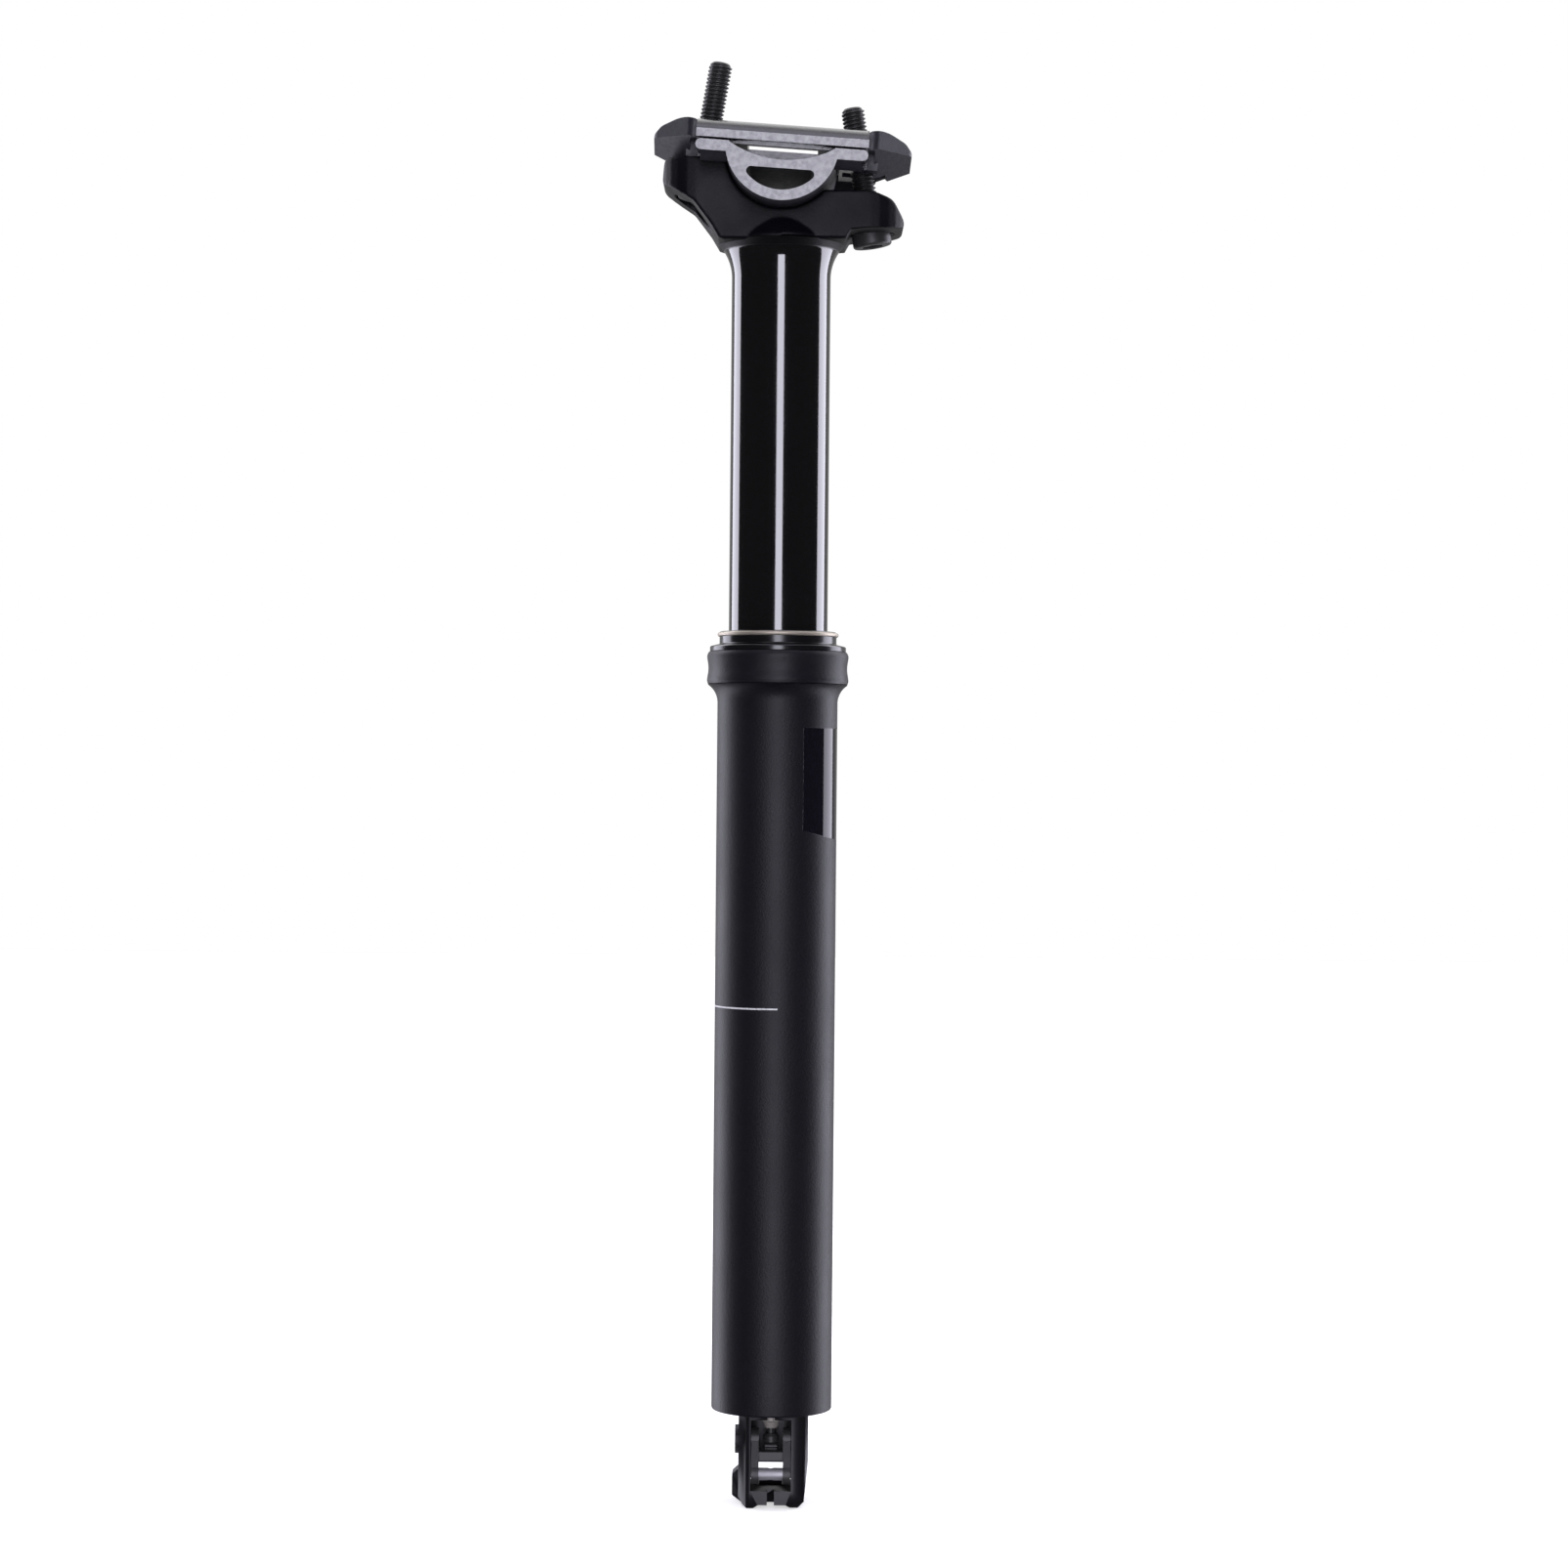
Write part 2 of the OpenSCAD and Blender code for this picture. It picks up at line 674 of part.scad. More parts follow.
module gas_piston() {
    outer = cartridge_bore_r - 2 * run_gap;
    mid = float_z + (float_len - seal_w) / 2;
    color(alloy) difference() {
        translate([0, 0, float_z]) cylinder(r = outer, h = float_len);
        // A cup that lightens the gas side
        translate([0, 0, float_z + float_len / 2]) cylinder(r = outer - 3, h = float_len);
        translate([0, 0, mid]) tube_ring(outer + eps, outer - seal_depth, seal_w);
    }
}

module gas_piston_ring() {
    mid = float_z + (float_len - seal_w) / 2;
    color(rubber) translate([0, 0, mid + run_gap])
        tube_ring(cartridge_bore_r - run_gap, cartridge_bore_r - seal_depth, seal_w - 2 * run_gap);
}

// A half moon under a flat top: radius, depth of the flat below the centre, corner radius
module half_moon(radius, flat, round_r) {
    // The corner's circle touches both the flat and the arc
    corner_z = flat + round_r;
    corner_x = sqrt(pow(radius - round_r, 2) - pow(corner_z, 2));
    arc_z = corner_z * radius / (radius - round_r);
    intersection() {
        circle(radius, $fn = 180);
        union() {
            translate([-corner_x, -radius - eps]) square([2 * corner_x, radius + eps - flat]);
            translate([-radius, -radius - eps]) square([2 * radius, radius + eps - arc_z]);
            for (side = [-1, 1]) translate([side * corner_x, -corner_z]) circle(round_r);
        }
    }
}

// The cradle's round body seen from its side: a ring with a dip on top and a hollow below
module cradle_arch() {
    difference() {
        intersection() {
            circle(cradle_r, $fn = 180);
            translate([-cradle_r, -cradle_r]) square([2 * cradle_r, cradle_r - split_gap]);
        }
        translate([0, dip_r - dip_depth]) circle(dip_r, $fn = 240);
        half_moon(cradle_r - cradle_wall, dip_depth + web_t, 1.2);
    }
}

// The wings that carry the rails, seen from their side: a bar with round tips and a fillet to the arch
module cradle_wings() {
    thick = wing_low - split_gap;
    tip_r = thick / 2;
    half = grip_len / 2;
    fillet = 3;
    fillet_z = wing_low + fillet;
    fillet_x = sqrt(pow(cradle_r + fillet, 2) - pow(fillet_z, 2));
    shell_low = groove_r + shell_t;
    for (side = [-1, 1]) {
        translate([side * (half - tip_r), -split_gap - tip_r]) circle(tip_r);
        translate([side > 0 ? cradle_r - 1 : tip_r - half, -shell_low - eps])
            square([half - tip_r - cradle_r + 1, shell_low + eps - split_gap]);
        difference() {
            polygon([
                [side * (cradle_r - 1.5), -wing_low + eps], [side * fillet_x, -wing_low + eps],
                [side * fillet_x, -fillet_z], [side * (cradle_r - 1.5), -wing_low - 1.5]
            ]);
            translate([side * fillet_x, -fillet_z]) circle(fillet);
        }
    }
}

module lower_cradle() {
    shell_r = groove_r + shell_t;
    color(alloy) clamp_frame() difference() {
        union() {
            along_y(clamp_w) cradle_arch();
            intersection() {
                along_y(clamp_w) cradle_wings();
                for (side = [-1, 1])
                    translate([0, side * rail_y, 0]) along_x(grip_len) circle(shell_r);
            }
        }
        for (side = [-1, 1])
            translate([0, side * rail_y, 0]) along_x(grip_len + 2 * eps) circle(groove_r);
    }
}

// The V under a nose, widened by a gap where another piece makes room for it
module nose_prism(gap = 0) {
    wide = nose_w + 8;
    translate([keel_x, 0, -keel_drop]) rotate([0, -keel_slope, 0]) translate([0, 0, -1.1 * gap])
        along_x(3 * nose_reach)
            polygon([[0, 0], [wide, wide * tan(keel_side)], [wide, 3 * nose_w],
                     [-wide, 3 * nose_w], [-wide, wide * tan(keel_side)]]);
}

module boss_block(gap = 0) {
    translate([boss_in - gap, -boss_w / 2 - gap, boss_low - gap])
        cube([keel_x - boss_in + 1 + gap, boss_w + 2 * gap, bridge_top - boss_low + gap]);
}

// The room that a nose and its boss need in the head
module nose_room() {
    intersection() {
        nose_prism(air_gap);
        translate([keel_x - air_gap, -head_w, -3 * keel_drop]) cube([nose_reach, 2 * head_w, 6 * keel_drop]);
    }
    boss_block(air_gap);
}

// A nose seen from its side: a humped back and a blunt tip
module nose_outline() {
    start = grip_len / 2 - 0.6;
    polygon(rounded([
        [start, -2 * keel_drop, 0],
        [nose_reach - 0.3, -2 * keel_drop, 0],
        [nose_reach, back_top - 2.6, 1.5],
        [nose_reach - 1.8, back_top - 0.6, 3],
        [nose_reach - 7, back_top + 1.3, 8],
        [start + 1, back_top + 0.6, 1.5],
        [start, back_top - 0.6, 0]
    ]));
}

// A nose seen from above: it narrows from the bar to its tip
module nose_plan() {
    start = grip_len / 2 - 0.7;
    tip = nose_reach + 0.1;
    polygon(rounded([
        [start, -nose_w, 0], [start + 2.6, -nose_w, 2.5], [tip, -7.5, 3],
        [tip, 7.5, 3], [start + 2.6, nose_w, 2.5], [start, nose_w, 0]
    ]));
}

// The sweep of a bolt as it leans in its slot, about the nut's centre
module bolt_sweep() {
    along_y(bolt_d + 2 * air_gap) for (angle = [8:-5:-32])
        translate([nut_x, nut_z]) rotate(-angle)
            translate([-bolt_r - air_gap, -bolt_len]) square([bolt_d + 2 * air_gap, 1.4 * bolt_len]);
}

// The end of the upper clamp over one bolt
module clamp_end() {
    difference() {
        union() {
            intersection() {
                along_y(2 * nose_w + 2) nose_outline();
                translate([0, 0, -3 * keel_drop]) linear_extrude(6 * keel_drop) nose_plan();
                nose_prism();
            }
            boss_block();
        }
        // The inner side of the nose stands clear of the bolt
        difference() {
            translate([0, -nose_w - 1, -3 * keel_drop])
                cube([keel_x, 2 * nose_w + 2, 3 * keel_drop + bridge_top - bridge_t]);
            boss_block();
        }
        // The trough that holds the nut, open above
        translate([nut_x, 0, nut_z]) {
            rotate([90, 0, 0]) cylinder(r = nut_r + run_gap, h = nut_len + 2 * run_gap, center = true);
            translate([-nut_r - run_gap, -nut_len / 2 - run_gap, 0])
                cube([nut_d + 2 * run_gap, nut_len + 2 * run_gap, 3 * nut_r]);
        }
        bolt_sweep();
    }
}

// The upper clamp between its ends: a web with a window, and a round-backed bar over each rail
module clamp_bridge() {
    bar_in = rail_y - groove_r - 2.4;
    window_x = 9;
    difference() {
        along_x(grip_len) difference() {
            union() {
                for (side = [-1, 1]) intersection() {
                    translate([side * (rail_y - back_inset), back_top - back_r]) circle(back_r);
                    translate([side > 0 ? bar_in : -clamp_w / 2, split_gap])
                        square([clamp_w / 2 - bar_in, 2 * back_r]);
                }
                translate([-bar_in - 1, bridge_top - bridge_t]) square([2 * bar_in + 2, bridge_t]);
            }
            for (side = [-1, 1]) translate([side * rail_y, 0]) circle(groove_r);
        }
        translate([-window_x, -bar_in + 3, 0]) cube([2 * window_x, 2 * bar_in - 6, 2 * back_r]);
        // The web ends where the nuts' troughs begin
        for (side = [-1, 1]) scale([side, 1, 1]) nut_gap();
    }
}

module nut_gap() {
    translate([nut_x - nut_r - run_gap, -nut_len / 2 - run_gap, 0])
        cube([nut_r + 4, nut_len + 2 * run_gap, 2 * back_r]);
    bolt_sweep();
}

module upper_clamp() {
    color(black) clamp_frame() {
        clamp_bridge();
        for (side = [0, 1]) mirror([side, 0, 0]) clamp_end();
    }
}

// A barrel nut whose threaded bore follows its bolt
module barrel_nut(at, angle) {
    color(steel) translate([at.x, 0, axis_z + at.y]) rotate([0, angle, 0]) difference() {
        rotate([90, 0, 0]) intersection() {
            cylinder(r = nut_r, h = nut_len, center = true);
            // Both ends are chamfered
            union() for (side = [0, 1]) mirror([0, 0, side])
                cylinder(r1 = nut_r + nut_len / 2 - 0.5, r2 = nut_r - 0.5, h = nut_len / 2);
        }
        cylinder(r = nut_bore_r, h = 3 * nut_r, center = true);
    }
}

module front_nut() {
    barrel_nut(front_nut_at, front_lean);
}

module rear_nut() {
    barrel_nut(rear_nut_at, rear_lean);
}

// A socket head bolt: round head with a chamfered rim and a hexagon socket, shank with a chamfered tip
module socket_bolt() {
    rim = 0.6;
    tip = 0.9;
    difference() {
        turned() polygon([
            [0, -bolt_head_h], [head_r - rim, -bolt_head_h], [head_r, rim - bolt_head_h], [head_r, 0],
            [bolt_r, 0], [bolt_r, bolt_len - tip], [bolt_r - tip, bolt_len], [0, bolt_len]
        ]);
        translate([0, 0, -bolt_head_h - eps])
            cylinder(d = socket_af / cos(30), h = socket_depth + eps, $fn = 6);
    }
}

// A washer with a flat side for the bolt's head and a round side for its cup
module domed_washer() {
    difference() {
        intersection() {
            translate([0, 0, -swing_depth]) sphere(r = washer_r);
            cylinder(r = washer_half, h = washer_r);
        }
        translate([0, 0, -eps]) cylinder(r = bolt_r + run_gap, h = washer_r);
    }
}

module front_bolt() {
    color(gloss_black) bolt_frame(front_seat_at, front_lean) socket_bolt();
}

module rear_bolt() {
    color(gloss_black) bolt_frame(rear_seat_at, rear_lean) socket_bolt();
}

module front_washer() {
    color(steel) bolt_frame(front_seat_at, front_lean) domed_washer();
}

module rear_washer() {
    color(steel) bolt_frame(rear_seat_at, rear_lean) domed_washer();
}

module shaft_nut() {
    across = 9;
    color(polymer) difference() {
        union() {
            translate([0, 0, nut_low]) cylinder(d = across / cos(30), h = flange_low - nut_low, $fn = 6);
            turned() polygon([
                [0, nut_low], [2.7, nut_low], [2.7, nut_low - 1.2], [2.2, nut_low - 1.5],
                [1.7, nose_low + 0.2], [1.5, nose_low], [0, nose_low]
            ]);
        }
        translate([0, 0, stub_low]) cylinder(r = stub_r + run_gap, h = 2 * recess_h);
        translate([0, 0, nose_low - eps]) cylinder(r = valve_bore_r, h = 2 * recess_h);
    }
}

// The housing seen from above, with its corners cut back
module housing_plan() {
    half = housing_w / 2;
    intersection() {
        circle(tube_bore_r - 0.6);
        polygon(rounded([
            [-left_reach, -half + 2.6, 0.6], [2 - left_reach, -half, 0.6],
            [right_reach - 0.8, -half, 0.6], [right_reach, -half + 0.8, 0.4],
            [right_reach, half - 0.8, 0.4], [right_reach - 0.8, half, 0.6],
            [2 - left_reach, half, 0.6], [-left_reach, half - 2.6, 0.6]
        ]));
    }
}

// The housing seen from its front: two feet, and a right cheek that tapers
module housing_outline() {
    polygon(rounded([
        [-left_reach, flange_low + eps, 0], [-left_reach, 3.2 - foot_h, 0], [1.1 - left_reach, 1 - foot_h, 0],
        [2.2 - left_reach, -foot_h, 0.5], [-left_foot_in, -foot_h, 0.5],
        [1.2 - left_foot_in, arch_h - foot_h, 0.4], [right_foot_in - 1.1, arch_h - foot_h, 0.4],
        [right_foot_in, 0.3 - foot_h, 0.5], [right_reach - 2.5, 0.3 - foot_h, 0.5],
        [right_reach - 1, 2.2 - foot_h, 0], [right_reach, 13.7 - foot_h, 0], [right_reach, flange_low + eps, 0]
    ]));
}

module actuator_housing() {
    color(black) difference() {
        union() {
            translate([0, 0, flange_low]) cylinder(r = tube_bore_r - 1, h = recess_h - flange_low);
            intersection() {
                along_y(housing_w) housing_outline();
                translate([0, 0, -foot_h - eps]) linear_extrude(foot_h + 2) housing_plan();
            }
            // The boss round the pivot pin and the guard of the cable's stop, on the left cheek
            translate([-left_reach - 0.9, pivot_y, pivot_z])
                rotate([0, 90, 0]) cylinder(d = pivot_boss_d, h = 2);
            translate([-left_reach, 0, -foot_h]) along_y(guard_w) polygon(rounded([
                [1, guard_high + 2.4, 0], [-0.1, guard_high + 1.4, 0.4], [-guard_t, guard_high, 0.8],
                [-guard_t, guard_low, 0.8], [1, 0.6, 0]
            ]));
        }
        // The slot of the lever, open to the front and the back
        translate([-slot_half, -housing_w, slot_floor])
            cube([2 * slot_half, 2 * housing_w, -neck_t - slot_floor]);
        // The shaft nut and the stub of the shaft
        translate([0, 0, -neck_t - eps]) cylinder(r = slot_half + 0.2, h = flange_low + neck_t + eps);
        translate([0, 0, flange_low - eps]) cylinder(r = stub_r + run_gap, h = recess_h);
        // The stop of the cable's housing, and the slot through which the cable is laid in
        translate([0, ferrule_y, -foot_h - eps]) cylinder(d = ferrule_d, h = foot_h + slot_floor - 1.5 + eps);
        translate([-cable_d / 2, -housing_w, -foot_h - eps]) cube([cable_d, housing_w + ferrule_y + 1.2, foot_h]);
        for (side = [-1, 1]) translate([side * slot_half, pivot_y, pivot_z]) rotate([0, 90, 0])
            cylinder(d = pivot_d + 2 * run_gap, h = 3 * left_reach, center = true);
    }
    // The block on the slot's floor
    color(black) translate([-block_half, 1, slot_floor - eps])
        cube([2 * block_half, housing_w / 2 - 2, block_top - slot_floor + eps]);
}

// Two stub pins, which leave the valve pin free between them
module lever_pin() {
    color(steel) for (side = [-1, 1]) {
        outer = side < 0 ? left_reach + 0.7 : right_reach - 0.3;
        translate([side * (outer + arm_in) / 2, pivot_y, pivot_z]) rotate([0, 90, 0])
            cylinder(d = pivot_d, h = outer - arm_in, center = true);
    }
}

// One arm of the lever seen from its side, from the pivot to the barrel's eye
module lever_arm() {
    eye_r = barrel_d / 2 + 1;
    pivot_eye_r = pivot_d / 2 + 1.4;
    difference() {
        union() {
            translate([pivot_y, pivot_z]) circle(pivot_eye_r);
            translate([barrel_y, barrel_z]) circle(eye_r);
            polygon([
                [pivot_y - pivot_eye_r, pivot_z], [pivot_y + pivot_eye_r, pivot_z],
                [pivot_y + pivot_eye_r, pivot_z - 3], [barrel_y + eye_r, barrel_z], [barrel_y - eye_r, barrel_z]
            ]);
        }
        translate([pivot_y, pivot_z]) circle(pivot_d / 2 + run_gap);
        translate([barrel_y, barrel_z]) circle(barrel_d / 2 + run_gap);
    }
}

module release_lever() {
    bar_top = valve_low - 1.4;
    bar_low = bar_top - 2.8;
    nose_r = 1;
    color(steel) {
        for (side = [-1, 1])
            translate([side * (arm_in + arm_out) / 2, 0, 0]) along_x(arm_out - arm_in) lever_arm();
        // The bar across the two arms
        along_x(2 * arm_in + 0.2) polygon(rounded([
            [pivot_y - 1.8, bar_top, 0.5], [pivot_y + 2, bar_top, 0.5],
            [pivot_y + 2, bar_low, 0.5], [pivot_y - 1.8, bar_low, 0.5]
        ]));
        // The nose that lifts the valve pin
        along_x(3) {
            translate([0, valve_low - run_gap - nose_r]) circle(nose_r);
            translate([pivot_y + 1, valve_low - run_gap - 2 * nose_r]) square([pivot_off - 1, nose_r]);
        }
    }
}

module valve_pin() {
    top = piston_top - 2.5;
    head = valve_d / 2 + 0.6;
    color(gloss_black) turned() polygon([
        [0, valve_low], [valve_head_d / 2 - 0.3, valve_low], [valve_head_d / 2, valve_low + 0.3],
        [valve_head_d / 2, valve_low + 1.7], [head, nose_low - 1.4], [valve_d / 2, nose_low - 1.4],
        [valve_d / 2, top], [0, top]
    ]);
}

module cable_barrel() {
    length = 2 * arm_out - 0.4;
    color(alloy) translate([0, barrel_y, barrel_z]) difference() {
        rotate([0, 90, 0]) cylinder(d = barrel_d, h = length, center = true);
        cylinder(d = cable_d, h = 2 * barrel_d, center = true);
        // The screw's hole, from one end to the cable
        rotate([0, 90, 0]) cylinder(d = screw_d, h = length);
    }
}

// The grub screw that clamps the cable in its barrel
module cable_screw() {
    length = arm_out - 0.4 - cable_d / 2;
    color(gloss_black) translate([cable_d / 2, barrel_y, barrel_z]) rotate([0, 90, 0]) difference() {
        cylinder(d = screw_d - 2 * run_gap, h = length);
        translate([0, 0, length - 1]) cylinder(d = 1, h = 2, $fn = 6);
    }
}

outer_tube();
seal_collar();
upper_bushing();
wiper_seal();
wiper_spring();
base_plug();
bottom_bumper();
cartridge_rod();
main_piston();
piston_seal();
shaft_nut();
inner_tube();
lower_bushing();
guide_keys();
cartridge_tube();
cartridge_gland();
gland_seal();
cartridge_cap();
retaining_ring();
gas_piston();
gas_piston_ring();
lower_cradle();
upper_clamp();
front_nut();
rear_nut();
front_bolt();
front_washer();
rear_bolt();
rear_washer();
actuator_housing();
lever_pin();
release_lever();
valve_pin();
cable_barrel();
cable_screw();
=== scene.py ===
"""Looks of a telescoping bicycle seatpost: its finishes, its modelled surfaces, the studio and the camera."""

import logging
import math
from dataclasses import dataclass, field
from enum import Enum
from typing import Protocol, Sequence

import bmesh
import bpy
import numpy as np
from mathutils import Matrix, Vector


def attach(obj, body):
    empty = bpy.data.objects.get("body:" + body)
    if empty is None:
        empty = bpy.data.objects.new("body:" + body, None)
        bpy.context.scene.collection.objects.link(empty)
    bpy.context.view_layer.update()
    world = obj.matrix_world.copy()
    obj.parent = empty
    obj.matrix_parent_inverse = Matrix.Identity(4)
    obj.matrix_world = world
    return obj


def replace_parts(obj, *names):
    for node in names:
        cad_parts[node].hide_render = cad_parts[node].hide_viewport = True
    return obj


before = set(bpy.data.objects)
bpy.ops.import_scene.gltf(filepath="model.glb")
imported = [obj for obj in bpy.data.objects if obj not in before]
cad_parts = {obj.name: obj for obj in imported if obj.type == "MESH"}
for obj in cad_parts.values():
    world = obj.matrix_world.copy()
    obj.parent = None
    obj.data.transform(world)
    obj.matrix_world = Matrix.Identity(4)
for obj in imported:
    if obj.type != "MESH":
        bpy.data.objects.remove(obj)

log = logging.getLogger("seatpost")

MM = 0.001
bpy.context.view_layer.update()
SAME_PLACE = 2e-6
WHITE = (1.0, 1.0, 1.0, 1.0)

Socket = bpy.types.NodeSocket
Color = tuple[float, float, float]
Point = tuple[float, float]
Value = Socket | float | Sequence[float]


class Shine(Enum):
    """How rough a finish is, from dull to glossy."""

    DULL = 0.62
    MATTE = 0.47
    SATIN = 0.33
    SLEEK = 0.2
    GLOSSY = 0.09


class Blend(Enum):
    """What a mix node mixes: its data type, and the places of its first value and of its result."""

    NUMBER = ("FLOAT", 2, 0)
    COLOR = ("RGBA", 6, 2)


class Graph:
    """Builds a node graph with short calls."""

    def __init__(self, tree: bpy.types.NodeTree, space: str) -> None:
        """Empties the graph.

        Args:
            tree: The tree to build in.
            space: Output of Texture Coordinate that the graph reads.
        """
        tree.nodes.clear()
        self.tree = tree
        self.coords = tree.nodes.new("ShaderNodeTexCoord").outputs[space]

    def node(self, kind: str, **settings: str) -> bpy.types.Node:
        """Adds a node and sets its properties."""
        made = self.tree.nodes.new(kind)
        for key, value in settings.items():
            setattr(made, key, value)
        return made

    def link(self, source: Socket, target: bpy.types.Node, socket: str | int) -> None:
        """Joins an output to an input of a node."""
        self.tree.links.new(source, target.inputs[socket])

    def feed(self, value: Value, target: Socket) -> None:
        """Joins an output to an input, or sets the input to a number or a colour."""
        if isinstance(value, Socket):
            self.tree.links.new(value, target)
        else:
            target.default_value = value

    def math(self, operation: str, first: Socket | float, second: Socket | float = 0.0) -> Socket:
        """Adds a math node whose inputs are sockets or numbers."""
        made = self.node("ShaderNodeMath", operation=operation)
        self.feed(first, made.inputs[0])
        self.feed(second, made.inputs[1])
        return made.outputs["Value"]

    def remap(
        self, source: Socket, low: float, high: float, start: float = 0.3, end: float = 0.7
    ) -> Socket:
        """Maps start..end of a value to low..high, clamped."""
        made = self.node("ShaderNodeMapRange")
        for key, value in (("From Min", start), ("From Max", end), ("To Min", low), ("To Max", high)):
            made.inputs[key].default_value = value
        self.link(source, made, "Value")
        return made.outputs["Result"]

    def mix(self, blend: Blend, mask: Socket, low: Value, high: Value) -> Socket:
        """Gives low where a mask is 0 and high where it is 1.

        Args:
            blend: Whether numbers or colours are mixed.
            mask: Number from 0 to 1.
            low: Number, colour with alpha, or socket.
            high: The same for where the mask is 1.

        Returns:
            The mixed value.
        """
        kind, first, result = blend.value
        made = self.node("ShaderNodeMix", data_type=kind)
        self.link(mask, made, 0)
        self.feed(low, made.inputs[first])
        self.feed(high, made.inputs[first + 1])
        return made.outputs[result]

    def axes(self) -> tuple[Socket, Socket, Socket]:
        """Returns X, Y and Z of the graph's coordinates."""
        made = self.node("ShaderNodeSeparateXYZ")
        self.link(self.coords, made, "Vector")
        return made.outputs["X"], made.outputs["Y"], made.outputs["Z"]

    def above(self, value: Socket, limit: float, soft: float = 0.00003) -> Socket:
        """Gives 1 where a value is over a limit and 0 under it, with a thin soft edge."""
        return self.remap(value, 0.0, 1.0, limit - soft, limit + soft)

    def outside(self, mask: Socket) -> Socket:
        """Gives 1 where a mask is 0, and 0 where it is 1."""
        return self.math("SUBTRACT", 1.0, mask)

    def both(self, *masks: Socket) -> Socket:
        """Gives 1 only where every mask is 1."""
        result = masks[0]
        for mask in masks[1:]:
            result = self.math("MULTIPLY", result, mask)
        return result

    def noise(self, scale: float, detail: float) -> Socket:
        """Adds noise, mostly from 0.3 to 0.7.

        Args:
            scale: Waves to a metre.
            detail: Octaves.

        Returns:
            The noise's value.
        """
        made = self.node("ShaderNodeTexNoise")
        made.inputs["Scale"].default_value = scale
        made.inputs["Detail"].default_value = detail
        self.link(self.coords, made, "Vector")
        return made.outputs["Fac"]

    def bump(self, height: Socket, depth: float) -> Socket:
        """Turns a height from 0 to 1 into a normal, depth metres deep."""
        made = self.node("ShaderNodeBump")
        made.inputs["Strength"].default_value = 1.0
        made.inputs["Distance"].default_value = depth
        self.link(height, made, "Height")
        return made.outputs["Normal"]


class Painter(Graph):
    """Builds the node graph of one material, on Object coordinates."""

    def __init__(self, name: str) -> None:
        """Starts the material.

        Args:
            name: Name of the material.
        """
        self.material = bpy.data.materials.new(name)
        self.material.use_nodes = True
        super().__init__(self.material.node_tree, "Object")

    def shader(self, color: Color, rough: float, metallic: float, level: float) -> bpy.types.Node:
        """Adds a surface shader with its uniform values on its own sockets.

        Args:
            color: Linear base colour.
            rough: Roughness.
            metallic: Metallic weight.
            level: Specular level.

        Returns:
            The shader node.
        """
        made = self.node("ShaderNodeBsdfPrincipled")
        made.inputs["Base Color"].default_value = (*color, 1.0)
        made.inputs["Roughness"].default_value = rough
        made.inputs["Metallic"].default_value = metallic
        made.inputs["Specular IOR Level"].default_value = level
        return made

    def output(self, shader: bpy.types.Node) -> bpy.types.Material:
        """Sends the shader to the material's output, and gives the finished material."""
        self.link(shader.outputs["BSDF"], self.node("ShaderNodeOutputMaterial"), "Surface")
        return self.material


@dataclass(frozen=True)
class Finish:
    """One surface finish, made of plain numbers that its node graph takes.

    Args:
        name: Name of the Blender material.
        color: Linear red, green and blue.
        shine: Base roughness.
        metallic: 0 for paint, anodising over black or rubber, 1 for bare metal.
        grain: Size of the fine grain, in metres.
        bump: Height of the grain, in metres.
        mottle: How far the roughness wanders, from 0 to 1.
        level: Specular level of the base.
    """

    name: str
    color: Color
    shine: Shine = Shine.MATTE
    metallic: float = 0.0
    grain: float = 0.0004
    bump: float = 0.00001
    mottle: float = 0.15
    level: float = 0.5

    def build(self) -> bpy.types.Material:
        """Makes the material, or returns it if it was made before. Its bump is fine noise, and its roughness
        wanders slowly.

        Returns:
            The material, with its grain on Object coordinates.
        """
        known = bpy.data.materials.get(self.name)
        if known is not None:
            return known
        paint = Painter(self.name)
        shader = paint.shader(self.color, self.shine.value, self.metallic, self.level)
        spread = self.shine.value * self.mottle
        fine = paint.noise(1.0 / self.grain, 3.0)
        slow = paint.noise(60.0, 4.0)
        rough = paint.remap(slow, self.shine.value - spread, self.shine.value + spread)
        paint.link(rough, shader, "Roughness")
        paint.link(paint.bump(fine, self.bump), shader, "Normal")
        return paint.output(shader)


@dataclass(frozen=True)
class Line:
    """A straight line in the XZ plane that a bolt lies on, with its origin under the bolt's head.

    Args:
        x: Place of the seat along X, in millimetres.
        z: Height of the seat, in millimetres.
        lean: Lean from upright towards +X, in degrees.
    """

    x: float
    z: float
    lean: float

    def place(self, points: np.ndarray) -> np.ndarray:
        """Turns points about Y by the lean and moves them to the seat.

        Args:
            points: Points in millimetres in the bolt's own frame, in any shape that ends in 3.

        Returns:
            The points in the frame of the post.
        """
        angle = math.radians(self.lean)
        cos, sin = math.cos(angle), math.sin(angle)
        turn = np.array([[cos, 0, sin], [0, 1, 0], [-sin, 0, cos]])
        return points @ turn.T + np.array([self.x, 0.0, self.z])


def arc(center: Point, radius: float, start: float, end: float, steps: int) -> list[Point]:
    """Gives points (x + r cos a, z + r sin a) of an arc, with both ends.

    Args:
        center: Centre, as radius and height in millimetres.
        radius: Radius of the arc.
        start: First angle in degrees.
        end: Last angle in degrees.
        steps: Steps along the arc.

    Returns:
        The points.
    """
    angles = np.radians(np.linspace(start, end, steps + 1))
    return list(zip(center[0] + radius * np.cos(angles), center[1] + radius * np.sin(angles)))


def merged(node: str) -> bmesh.types.BMesh:
    """Copies a CAD node's mesh and merges its doubled corners.

    Args:
        node: Name of the node.

    Returns:
        The copy.
    """
    shape = bmesh.new()
    shape.from_mesh(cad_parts[node].data)
    bmesh.ops.remove_doubles(shape, verts=shape.verts, dist=SAME_PLACE)
    return shape


